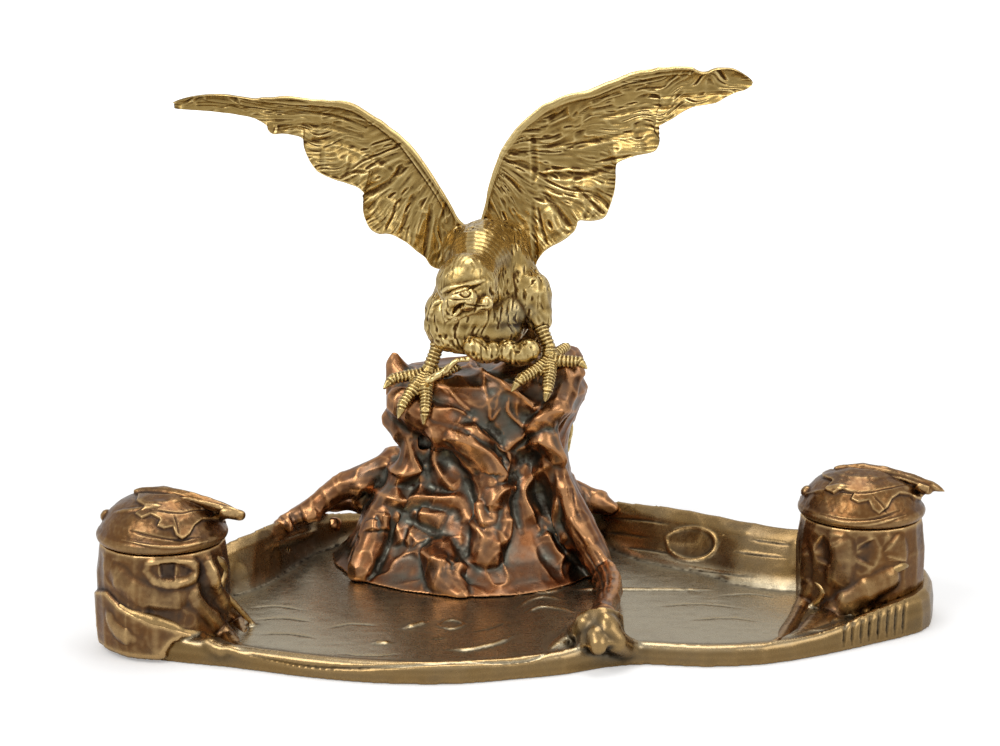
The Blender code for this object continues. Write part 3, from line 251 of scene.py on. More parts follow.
TRAY_LINES = (
    (1.0, -0.7, (250, 655, 306, 666, 362, 668, 451, 663, 527, 661, 562, 643)),
    (2.6, 1.4, (406, 628, 416, 625, 426, 622)),
    (1.4, 0.9, (437, 625, 450, 620, 464, 624, 451, 629, 437, 625)),
    (1.9, 1.2, (451, 649, 466, 650, 482, 647, 498, 643, 511, 636)),
    (2.6, 1.1, (374, 643, 390, 643)),
    (1.6, 1.1, (513, 600, 524, 592, 537, 588, 552, 590)),
    (1.4, 1.0, (517, 608, 530, 600, 546, 597, 562, 600)),
    (1.4, 1.0, (525, 613, 540, 607, 556, 608, 573, 612)),
    (1.3, 1.0, (520, 585, 530, 579, 545, 575, 558, 578, 563, 585, 555, 591, 538, 593,
                524, 590, 520, 585)),
    (0.9, -0.6, (541, 583, 530, 580)),
    (0.9, -0.6, (541, 583, 541, 575)),
    (0.9, -0.6, (541, 583, 553, 579)),
    (0.9, -0.6, (541, 583, 556, 587)),
    (0.9, -0.6, (541, 583, 541, 591)),
    (0.9, -0.6, (541, 583, 528, 588)),
    (1.0, -0.5, (252, 608, 276, 606, 302, 610)),
    (1.0, -0.5, (256, 620, 284, 618, 312, 622)),
    (1.0, -0.5, (262, 634, 290, 634, 316, 638)),
    (1.0, -0.5, (330, 628, 352, 624, 378, 626)),
    (1.0, -0.5, (340, 654, 372, 656, 400, 654)),
    (1.0, -0.5, (470, 632, 492, 628, 506, 622)),
    (1.0, -0.5, (430, 640, 446, 638)),
    (0.9, -0.5, (640, 590, 670, 588, 700, 592)),
    (0.9, -0.5, (660, 606, 700, 604, 740, 608)),
    (0.9, -0.5, (690, 620, 730, 618, 760, 622)),
    (0.9, -0.5, (720, 596, 750, 594, 776, 598)),
    (1.1, -0.5, (610, 518, 640, 520, 668, 524)),
    (1.1, -0.5, (604, 532, 626, 534, 650, 538)),
    (1.1, -0.5, (622, 547, 650, 550, 672, 554)),
    (1.1, -0.5, (736, 552, 758, 555, 786, 558)),
    (1.1, -0.5, (752, 540, 770, 542, 790, 545)),
    (1.1, -0.5, (690, 569, 720, 573, 752, 577)),
    (1.5, 0.8, (666, 536, 676, 530, 694, 528, 710, 533, 716, 543, 712, 553, 700, 559,
                684, 559, 670, 551, 666, 536)),
    (1.8, 1.0, (574, 486, 598, 494, 629, 502, 682, 508, 721, 518, 751, 526, 790, 531)),
    (1.3, -0.8, (846, 618, 844, 646)),
    (1.3, -0.8, (854, 615, 852, 644)),
    (1.3, -0.8, (863, 613, 861, 642)),
    (1.3, -0.8, (871, 611, 869, 640)),
    (1.3, -0.8, (880, 608, 878, 638)),
    (1.3, -0.8, (889, 605, 887, 636)),
    (1.3, -0.8, (897, 603, 895, 634)),
    (1.3, -0.8, (905, 601, 903, 633)),
    (1.4, 0.9, (590, 500, 598, 516, 602, 532)),
)
POT_LINES = (
    (3.4, 1.7, (146, 571, 150, 562, 162, 558, 178, 558, 192, 563, 197, 571, 190, 580,
                174, 584, 156, 582, 146, 571)),
    (6.0, -1.5, (158, 571, 168, 570, 178, 570)),
    (6.5, 1.4, (108, 566, 120, 578, 132, 590, 152, 598, 176, 598, 196, 590)),
    (5.0, -1.0, (196, 560, 204, 576, 210, 592, 224, 610)),
    (4.4, 1.3, (206, 554, 214, 572, 220, 590)),
    (5.0, -1.1, (140, 612, 164, 616, 188, 620)),
    (7.0, 1.6, (836, 536, 842, 552, 840, 570, 828, 590)),
    (5.4, -1.5, (816, 540, 824, 550, 822, 566)),
    (5.4, -1.5, (864, 541, 869, 552, 862, 566)),
    (7.0, 1.4, (890, 538, 898, 550, 896, 564)),
    (5.0, 1.2, (804, 548, 806, 566, 804, 584)),
    (2.0, -0.9, (850, 612, 848, 634)),
    (2.0, -0.9, (862, 608, 860, 634)),
    (2.0, -0.9, (874, 606, 872, 630)),
    (2.0, -0.9, (886, 602, 884, 628)),
    (2.0, -0.9, (898, 598, 896, 622)),
)
POT_TUBES = (
    (5.6, (204, 556, 212, 580, 228, 606, 246, 634)),
    (5.0, (186, 584, 202, 606, 222, 630, 240, 646)),
    (4.4, (108, 606, 118, 628, 140, 640)),
    (7.6, (904, 570, 888, 579, 866, 592, 843, 606, 818, 620, 792, 636)),
    (5.0, (812, 572, 806, 596, 792, 622, 776, 642)),
)
LID_TUBES = {
    "left": (
        (1.6, (107, 516, 124, 512, 147, 509, 160, 508)),
        (2.6, (214, 515, 226, 514, 237, 516, 240, 521, 236, 525)),
        (2.2, (226, 524, 233, 525)),
    ),
    "right": (
        (1.6, (793, 501, 812, 494, 834, 490, 850, 488)),
        (2.6, (900, 492, 912, 489, 923, 488, 927, 493, 922, 498)),
        (2.2, (910, 499, 918, 499)),
    ),
}
LID_LINES = {
    "left": (
        (0.7, -0.5, (150, 511, 164, 513, 180, 514, 196, 511, 214, 509)),
        (0.6, -0.4, (174, 516, 177, 526, 178, 536)),
        (0.8, -0.5, (130, 531, 150, 536, 176, 540, 200, 537)),
        (0.8, 0.5, (122, 540, 152, 546, 180, 547, 208, 541)),
    ),
    "right": (
        (0.7, -0.5, (838, 492, 852, 493, 868, 494, 886, 490, 906, 487)),
        (0.6, -0.4, (872, 496, 881, 505, 887, 514)),
        (0.8, -0.5, (820, 514, 846, 520, 874, 519, 900, 511)),
        (0.8, 0.5, (816, 520, 846, 526, 876, 524, 906, 515)),
    ),
}
# Edge of the leaf on each lid, of the bank against the left pot and of the even part of
# the right bank, as the camera sees them
LID_LEAVES = {
    "left": (138, 494, 160, 494, 190, 497, 216, 503, 244, 512, 243, 521, 234, 527, 222, 522,
             212, 520, 202, 521, 195, 526, 190, 535, 182, 541, 175, 536, 172, 528, 164, 530,
             156, 527, 159, 520, 151, 516, 142, 520, 134, 514, 144, 507, 136, 502),
    "right": (822, 470, 846, 468, 874, 471, 902, 477, 930, 486, 929, 494, 920, 501, 908, 496,
              899, 495, 892, 500, 888, 508, 879, 515, 872, 510, 868, 502, 858, 504, 850, 500,
              853, 494, 843, 491, 834, 495, 824, 490, 832, 482, 822, 478),
}
POT_BANK = (92, 588, 108, 590, 121, 605, 140, 615, 168, 625, 196, 633, 212, 641, 216, 670, 92, 670)
BANK_AREA = (600, 508, 660, 512, 700, 520, 796, 536, 800, 588, 740, 586, 690, 574, 630, 560,
             600, 540)
# Smooth outer side of a lid and its rim bead: radius and height in metres
LID_SHELL = ((0.0262, 0.0508), (0.0287, 0.0506), (0.0299, 0.0516), (0.0303, 0.0532),
             (0.0297, 0.0548), (0.0285, 0.0562), (0.0272, 0.0588), (0.0250, 0.0624),
             (0.0210, 0.0664), (0.0150, 0.0694), (0.0080, 0.0711), (0.0012, 0.0716),
             (0.0012, 0.0700), (0.0140, 0.0680), (0.0200, 0.0650), (0.0240, 0.0608),
             (0.0262, 0.0560), (0.0262, 0.0508))
# Head and underside of the eagle: tubes with a start and end radius, and the depth
# they lie at, in millimetres
BODY_TUBES = (
    (12.4, 12.4, 3.0, (462, 283, 466, 279)),
    (5.6, 0.7, -12.0, (466, 299, 457, 299, 450, 303, 446.5, 311, 446, 322)),
    (3.6, 0.9, -9.0, (486, 303, 475, 308, 464, 314, 455, 320)),
    (11.5, 11.0, 38.0, (448, 312, 478, 315, 506, 312)),
    (11.0, 10.5, 38.0, (446, 325, 466, 328, 484, 328, 504, 325)),
    (6.4, 5.6, 33.0, (446, 338, 462, 342, 478, 343)),
    (5.6, 5.0, 27.0, (474, 347, 484, 353, 493, 351)),
    (6.0, 5.4, 28.0, (507, 351, 518, 355, 529, 350)),
    (1.9, 1.3, 19.0, (428, 381, 445, 371, 456, 361, 468, 359)),
)
BODY_LINES = (
    (1.7, 1.1, (441, 292, 450, 288, 462, 286, 474, 283, 484, 280)),
    (1.7, -2.4, (453, 316, 457, 309, 464, 304)),
    (0.7, -0.7, (463, 304, 474, 306, 488, 306)),
    (0.8, -1.1, (461, 290, 460, 294, 464, 297, 469, 296, 471, 292, 467, 289, 461, 290)),
    (1.0, -0.9, (452, 294, 460, 291, 470, 288, 480, 285)),
    (1.3, 1.3, (465, 292.5, 466.5, 293)),
    (0.7, -0.5, (449, 299, 460, 300, 472, 299)),
    (1.8, 1.0, (430, 316, 434, 304, 442, 300)),
    (1.4, -0.9, (490, 288, 494, 296, 500, 300)),
)
HEAD, SOLDER_PATCH = (466, 285), (517, 320)
NAPE = (474, 268)
NAPE_REACH = (9.0, 44.0)
NAPE_STEP = 4.2
LEG_RUNS = {
    "left": (
        ((-37.8, 40, 134), (-41.3, 38, 127), (-42.3, 36, 120), (-44.8, 34, 113.5),
         (-46.8, 33, 108)),
        ((-46.8, 33, 108), (-57.3, 30, 108), (-63.8, 28, 107), (-67.8, 25, 103)),
        ((-46.8, 33, 108), (-52.8, 23, 104), (-58.3, 16, 97), (-60.3, 13, 91)),
        ((-46.8, 33, 108), (-46.8, 21, 103), (-47.3, 13, 95), (-47.8, 12, 88)),
        ((-46.8, 33, 108), (-38.3, 35, 108.5), (-32.8, 37, 110.5), (-29.8, 38, 110)),
    ),
    "right": (
        ((4.2, 41, 142), (7.2, 39, 135), (10.2, 36, 128), (12.7, 34, 122), (13.2, 32, 115.5)),
        ((13.2, 32, 115.5), (20.7, 30, 115.5), (27.7, 29, 115.5), (31.2, 26, 113)),
        ((13.2, 32, 115.5), (13.2, 22, 111), (12, 15, 105), (11, 13, 99.5)),
        ((13.2, 32, 115.5), (5.7, 23, 112), (-1.3, 17, 109), (-5.3, 15, 104)),
        ((13.2, 32, 115.5), (17.7, 39, 118), (21.7, 45, 119.5), (23.7, 48, 118.5)),
    ),
}
HINGE_PLACES = {"left": (-0.167, -0.01905, 0.050), "right": (0.162, 0.02193, 0.050)}
POT_PLACES = {"left": (-0.167, -0.05205), "right": (0.162, -0.01108)}


def photo_way(px, py):
    """Gives the direction in which the camera sees a pixel."""
    across = (px - IMAGE_WIDTH / 2) / FOCAL_PIXELS
    up = (IMAGE_HEIGHT / 2 - py) / FOCAL_PIXELS
    return Vector((across, math.cos(CAMERA_DIP) + up * math.sin(CAMERA_DIP),
                   up * math.cos(CAMERA_DIP) - math.sin(CAMERA_DIP)))


def at_depth(px, py, y):
    """Gives the point seen at a pixel in the upright plane at y."""
    way = photo_way(px, py)
    return CAMERA_PLACE + way * ((y - CAMERA_PLACE.y) / way.y)


def photo_pixels(points):
    """Gives the pixel at which the camera sees each point."""
    rel = points - np.array(CAMERA_PLACE)
    depth = rel[:, 1] * math.cos(CAMERA_DIP) - rel[:, 2] * math.sin(CAMERA_DIP)
    up = rel[:, 1] * math.sin(CAMERA_DIP) + rel[:, 2] * math.cos(CAMERA_DIP)
    return (IMAGE_WIDTH / 2 + FOCAL_PIXELS * rel[:, 0] / depth,
            IMAGE_HEIGHT / 2 - FOCAL_PIXELS * up / depth)


def tree_of(objects):
    """Makes one search tree of several meshes."""
    points, faces = [], []
    for obj in objects:
        start = len(points)
        points += [v.co.copy() for v in obj.data.vertices]
        faces += [[start + i for i in p.vertices] for p in obj.data.polygons]
    return BVHTree.FromPolygons(points, faces)


def eased(points, steps):
    """Passes a smooth line through points, with steps between each two."""
    p = np.array([points[0], *points, points[-1]], float)
    p[0] = 2 * p[1] - p[2]
    p[-1] = 2 * p[-2] - p[-3]
    line = []
    for i in range(1, len(p) - 2):
        for s in range(steps):
            t = s / steps
            line.append(0.5 * (2 * p[i] + (p[i + 1] - p[i - 1]) * t
                               + (2 * p[i - 1] - 5 * p[i] + 4 * p[i + 1] - p[i + 2]) * t * t
                               + (3 * p[i] - p[i - 1] - 3 * p[i + 1] + p[i + 2]) * t ** 3))
    line.append(p[-2])
    return np.array(line)


def traced(path, tree):
    """Lays a line of pixels on the surface that the camera sees there."""
    pairs = np.array(path, float).reshape(-1, 2)
    pixels = eased(pairs, 4) if len(pairs) > 2 else np.linspace(pairs[0], pairs[-1], 5)
    line = []
    for px, py in pixels:
        hit = tree.ray_cast(CAMERA_PLACE, photo_way(px, py))[0]
        if hit is None:
            guess = at_depth(px, py, line[-1][1] if line else 0.0)
            hit = tree.find_nearest(guess)[0]
        if line and (hit - Vector(line[-1])).length > LONG_STEP:
            continue
        line.append(tuple(hit))
    return np.array(line)


def points_of(mesh):
    """Gives a mesh's vertices as an array."""
    flat = np.empty(len(mesh.vertices) * 3, np.float32)
    mesh.vertices.foreach_get("co", flat)
    return flat.reshape(-1, 3).astype(float)


def normals_of(mesh):
    """Gives a mesh's vertex normals as an array."""
    flat = np.empty(len(mesh.vertices) * 3, np.float32)
    mesh.vertex_normals.foreach_get("vector", flat)
    return flat.reshape(-1, 3).astype(float)


def set_points(mesh, points):
    """Moves a mesh's vertices."""
    mesh.vertices.foreach_set("co", points.astype(np.float32).ravel())
    mesh.update()


def blurred(values, edges, rounds):
    """Averages values with their neighbours along the edges."""
    size = len(values)
    a, b = edges[:, 0], edges[:, 1]
    count = np.maximum(np.bincount(edges.ravel(), minlength=size), 1)[:, None]
    for _ in range(rounds):
        total = np.stack([np.bincount(a, values[b, k], size) + np.bincount(b, values[a, k], size)
                          for k in range(values.shape[1])], 1)
        values = (values + total / count) / 2
    return values


def grain(points, size, seed):
    """Smooth noise from -1 to 1, with cells of the given size."""
    cells = points / size + seed * 7.31
    low = np.floor(cells).astype(np.int64)
    part = cells - low
    part = part * part * (3 - 2 * part)
    total = np.zeros(len(points))
    for corner in product((0, 1), repeat=3):
        i = low + np.array(corner)
        h = (i[:, 0] * 73856093) ^ (i[:, 1] * 19349663) ^ (i[:, 2] * 83492791) ^ (seed * 6151)
        h = ((h & 0xFFFFFFFF) * 1274126177) & 0xFFFFFFFF
        h = ((h ^ (h >> 15)) * 668265263) & 0xFFFFFFFF
        h = h ^ (h >> 13)
        weight = np.prod(np.where(corner, part, 1 - part), axis=1)
        total += weight * ((h & 0xFFFF) / 32767.5 - 1)
    return total


def line_field(points, lines, kind="ridge"):
    """Height of ridges or crests at points, each a (half width, height, line)."""
    high, low = np.zeros(len(points)), np.zeros(len(points))
    for half, height, line in lines:
        reach = half * MM
        near = np.all((points > line.min(0) - reach) & (points < line.max(0) + reach), axis=1)
        index = np.flatnonzero(near)
        if not len(index):
            continue
        spots = points[index]
        nearest = np.full(len(index), np.inf)
        along = np.zeros(len(index))
        parts = len(line) - 1
        for k in range(parts):
            way = line[k + 1] - line[k]
            t = np.clip((spots - line[k]) @ way / max(way @ way, 1e-12), 0, 1)
            gap = np.linalg.norm(spots - line[k] - t[:, None] * way, axis=1)
            closer = gap < nearest
            nearest[closer] = gap[closer]
            along[closer] = (k + t[closer]) / parts
        taper = np.clip(np.minimum(along, 1 - along) / 0.18, 0.35, 1)
        gap = nearest / (reach * (0.55 + 0.45 * taper))
        if kind == "crest":
            shape = np.clip(1 - np.sqrt(gap * gap + 0.004), 0, 1) ** 2
        else:
            shape = np.clip(1 - gap ** 2, 0, 1) ** 1.5
        value = shape * taper * height * MM
        if height > 0:
            high[index] = np.maximum(high[index], value)
        else:
            low[index] = np.minimum(low[index], value)
    return high + low


def outlined(points, normals, outline, soft):
    """Gives 1 at points seen inside an outline of pixels and 0 outside it."""
    px, py = photo_pixels(points)
    corners = np.array(outline, float).reshape(-1, 2)
    inside = np.zeros(len(points), bool)
    gap = np.full(len(points), np.inf)
    for (ax, ay), (bx, by) in zip(corners, np.roll(corners, -1, axis=0)):
        if ay != by:
            inside ^= ((ay > py) != (by > py)) & (px < (bx - ax) * (py - ay) / (by - ay) + ax)
        wx, wy = bx - ax, by - ay
        t = np.clip(((px - ax) * wx + (py - ay) * wy) / (wx * wx + wy * wy), 0, 1)
        gap = np.minimum(gap, np.hypot(px - ax - t * wx, py - ay - t * wy))
    facing = np.clip(-(normals @ np.array(photo_way(*corners.mean(0)))) * 5, 0, 1)
    share = np.clip(np.where(inside, gap, 0) / soft, 0, 1)
    return share * share * (3 - 2 * share) * facing


def edges_of(mesh):
    """Gives a mesh's edges as pairs of vertex numbers."""
    flat = np.empty(len(mesh.edges) * 2, np.int32)
    mesh.edges.foreach_get("vertices", flat)
    return flat.reshape(-1, 2)


def new_object(name, mesh):
    """Puts a mesh in the scene under a name."""
    obj = bpy.data.objects.new(name, mesh)
    bpy.context.scene.collection.objects.link(obj)
    return obj


def settled(obj):
    """Turns an object's modifiers into its own mesh."""
    bpy.context.view_layer.update()
    depsgraph = bpy.context.evaluated_depsgraph_get()
    mesh = bpy.data.meshes.new_from_object(obj.evaluated_get(depsgraph))
    obj.modifiers.clear()
    obj.data = mesh
    return obj


def add_tube(bm, line, radii):
    """Adds a chain of balls and cones along a line."""
    for point, radius in zip(line, radii):
        bmesh.ops.create_icosphere(bm, subdivisions=4 if radius > WIDE_TUBE else 2, radius=radius,
                                   matrix=Matrix.Translation(Vector(point)))
    for (start, end), (r1, r2) in zip(zip(line, line[1:]), zip(radii, radii[1:])):
        start, end = Vector(start), Vector(end)
        way = end - start
        if way.length < 1e-6:
            continue
        turn = way.to_track_quat("Z", "Y").to_matrix().to_4x4()
        bmesh.ops.create_cone(bm, cap_ends=True, segments=40 if r1 > WIDE_TUBE else 14,
                              radius1=r1, radius2=r2, depth=way.length,
                              matrix=Matrix.Translation((start + end) / 2) @ turn)


def tube_radii(line, radius):
    """Tapers a tube's radius towards both of its ends."""
    t = np.linspace(0, 1, len(line))
    return radius * MM * np.clip(0.45 + 2.6 * np.minimum(t, 1 - t), 0.45, 1)


def sunk_line(line, tree, share, radius):
    """Moves a line into the surface, so that a tube on it stands out by a part."""
    moved = []
    for point in line:
        spot, normal = tree.find_nearest(Vector(point))[:2]
        moved.append(tuple(Vector(point) - normal * radius * share * MM))
    return np.array(moved)


def cast_mesh(name, nodes, tubes, voxel, smoothing, extra=None):
    """Casts copies of CAD nodes and tubes in one closed mesh of even grain."""
    bm = bmesh.new()
    for node in nodes:
        bm.from_mesh(NODES[node].data)
    for line, radii in tubes:
        add_tube(bm, line, radii)
    if extra:
        extra(bm)
    mesh = bpy.data.meshes.new(name)
    bm.to_mesh(mesh)
    bm.free()
    obj = new_object(name, mesh)
    remesh = obj.modifiers.new("Even grain", "REMESH")
    remesh.mode = "VOXEL"
    remesh.voxel_size = voxel
    remesh.adaptivity = 0.0
    soften = obj.modifiers.new("Soften", "SMOOTH")
    soften.factor, soften.iterations = 0.5, smoothing
    return settled(obj)


def finish_cast(obj, relief, broad_rounds=40, stain=None):
    """Moves a casting's vertices by its relief, and records crests and hollows."""
    mesh = obj.data
    points, normals = points_of(mesh), normals_of(mesh)
    edges = edges_of(mesh)
    points = points + normals * relief[:, None]
    low, high = np.array(CAD_BOX[0]), np.array(CAD_BOX[1])
    points = np.clip(points, low, high)
    set_points(mesh, points)
    normals = normals_of(mesh)
    for name, rounds, size in (("fine", 5, 0.00016), ("broad", broad_rounds, 0.0009)):
        bend = np.einsum("ij,ij->i", blurred(points, edges, rounds) - points, normals)
        layer = mesh.attributes.new(name, "FLOAT", "POINT")
        layer.data.foreach_set("value", np.clip(bend / size, -1, 1).astype(np.float32))
    layer = mesh.attributes.new("stain", "FLOAT", "POINT")
    stain = np.zeros(len(relief)) if stain is None else stain
    layer.data.foreach_set("value", stain.astype(np.float32))
    mesh.polygons.foreach_set("use_smooth", np.ones(len(mesh.polygons), bool))
    faces = sum(len(p.vertices) - 2 for p in mesh.polygons)
    if faces > MOST_TRIANGLES:
        thin = obj.modifiers.new("Fewer faces", "DECIMATE")
        thin.ratio = MOST_TRIANGLES / faces
        settled(obj)
    return obj


def dressed(obj, body, slot, material, *nodes):
    """Hands a piece over to the frame in place of its CAD nodes."""
    obj.data.materials.clear()
    obj.data.materials.append(material)
    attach(obj, body)
    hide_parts(*nodes)
    return obj


def colour_setting(name, text, default):
    """Makes a colour that a user can change."""
    return FloatVectorProperty(name=name, description=text, default=default, size=3,
                               min=0.0, max=1.0, subtype="COLOR")


class InkstandFinishes(bpy.types.PropertyGroup):
    """Colours of the bronze and its patina, with painted highlight and painted shade."""
    gilt: colour_setting("Gilding", "Gilt bronze of the eagle", (0.40, 0.27, 0.090))
    # Rubbed gilding and painted highlight, mixed onto crests and bulges
    gilt_worn: colour_setting("Bright gilding", "Gilding rubbed bright, with painted highlight", (0.86, 0.66, 0.30))
    # Painted shade with grime, mixed into folds and hollows
    gilt_dark: colour_setting("Shade and grime in gilding", "Brown in the eagle's hollows",
                              (0.085, 0.040, 0.012))
    gilt_tint: colour_setting("Dull gilding", "Duller patches of the eagle", (0.30, 0.175, 0.045))
    rock: colour_setting("Rock bronze", "Red brown of the rock", (0.185, 0.070, 0.026))
    # Rubbed copper and painted highlight, mixed onto crests and bulges
    rock_worn: colour_setting("Bright rock", "Copper on the rock's ridges", (0.50, 0.25, 0.11))
    # Painted shade with grime, mixed into folds and hollows
    rock_dark: colour_setting("Dark rock", "Brown in the rock's folds", (0.030, 0.016, 0.010))
    rock_tint: colour_setting("Grey rock", "Grey green of the rock's hollows",
                              (0.150, 0.152, 0.122))
    tray: colour_setting("Tray bronze", "Olive brown of the tray", (0.205, 0.125, 0.046))
    # Rubbed metal and painted highlight, mixed onto crests and edges
    tray_worn: colour_setting("Bright tray", "Gold on the tray's edges", (0.40, 0.26, 0.110))
    # Painted shade with grime, mixed into lines and hollows
    tray_dark: colour_setting("Dark tray", "Brown in the tray's lines", (0.030, 0.018, 0.008))
    tray_tint: colour_setting("Grey tray", "Grey on the tray's floor", (0.160, 0.135, 0.095))
    tray_floor: colour_setting("Tray floor", "Grey olive of the pools", (0.430, 0.365, 0.245))
    solder: colour_setting("Solder", "Lead grey patch under the breast", (0.050, 0.046, 0.048))
    pot: colour_setting("Pot bronze", "Brown gold of the pots", (0.190, 0.088, 0.030))
    # Rubbed metal and painted highlight, mixed onto crests and bulges
    pot_worn: colour_setting("Bright pots", "Gold on the pots' ridges", (0.58, 0.38, 0.17))
    # Painted shade with grime, mixed into folds and hollows
    pot_dark: colour_setting("Dark pots", "Brown in the pots' folds", (0.030, 0.014, 0.009))
    pot_tint: colour_setting("Grey pots", "Grey in the pots' hollows", (0.085, 0.065, 0.050))


class InkstandCasting(bpy.types.PropertyGroup):
    """Grain of the castings."""
    tray_grain: FloatProperty(name="Tray grain", description="Mesh size of the tray",
                              default=0.00095, min=0.0005, max=0.003, unit="LENGTH")
    rock_grain: FloatProperty(name="Rock grain", description="Mesh size of the rock",
                              default=0.0008, min=0.0005, max=0.003, unit="LENGTH")
    pot_grain: FloatProperty(name="Pot grain", description="Mesh size of the pots",
                             default=0.00065, min=0.0004, max=0.003, unit="LENGTH")
    lid_grain: FloatProperty(name="Lid grain", description="Mesh size of the lids",
                             default=0.00045, min=0.0003, max=0.003, unit="LENGTH")
    body_grain: FloatProperty(name="Body grain", description="Mesh size of the eagle's body",
                              default=0.00055, min=0.0004, max=0.003, unit="LENGTH")
    leg_grain: FloatProperty(name="Leg grain", description="Mesh size of the legs",
                             default=0.00032, min=0.0002, max=0.003, unit="LENGTH")
    wing_steps: IntProperty(name="Wing steps", description="Steps along a wing",
                            default=360, min=60, max=500)


class InkstandStage(bpy.types.PropertyGroup):
    """Floor and lamps."""
    floor: colour_setting("Floor", "Colour of the floor", (0.80, 0.80, 0.80))
    key_power: FloatProperty(name="Key lamp", description="Power of the soft lamp at the left",
                             default=9.5, min=0.0, unit="POWER")
    fill_power: FloatProperty(name="Fill lamp", description="Power of the soft lamp at the right",
                              default=4.2, min=0.0, unit="POWER")
    top_power: FloatProperty(name="Top lamp", description="Power of the soft lamp above",
                             default=7.0, min=0.0, unit="POWER")
    sky: FloatProperty(name="Room light", description="Strength of the light all round",
                       default=0.50, min=0.0, max=1.0)


def socket_node(tree, kind, place, **inputs):
    """Adds a node and sets or links its inputs by name or number."""
    node = tree.nodes.new(kind)
    node.location = place
    for key, value in inputs.items():
        socket = node.inputs[int(key[1:]) if key[0] == "i" and key[1:].isdigit() else key]
        if isinstance(value, bpy.types.NodeSocket):
            tree.links.new(value, socket)
        else:
            socket.default_value = value
    return node


def maths(tree, operation, place, a, b=0.0, c=0.0, clamp=False):
    """Adds a Math node and gives its output."""
    node = socket_node(tree, "ShaderNodeMath", place, i0=a, i1=b, i2=c)
    node.operation = operation
    node.use_clamp = clamp
    return node.outputs[0]


def mixed(tree, place, factor, a, b):
    """Adds a colour mix and gives its output."""
    node = tree.nodes.new("ShaderNodeMix")
    node.data_type = "RGBA"
    node.location = place
    for index, value in ((0, factor), (6, a), (7, b)):
        if isinstance(value, bpy.types.NodeSocket):
            tree.links.new(value, node.inputs[index])
        else:
            node.inputs[index].default_value = value
    return node.outputs[2]


def noise_node(tree, place, vector, scale, detail, roughness=0.6):
    """Adds a noise texture and gives its value."""
    node = socket_node(tree, "ShaderNodeTexNoise", place, Vector=vector, Scale=scale,
                       Detail=detail, Roughness=roughness)
    return node.outputs[0]


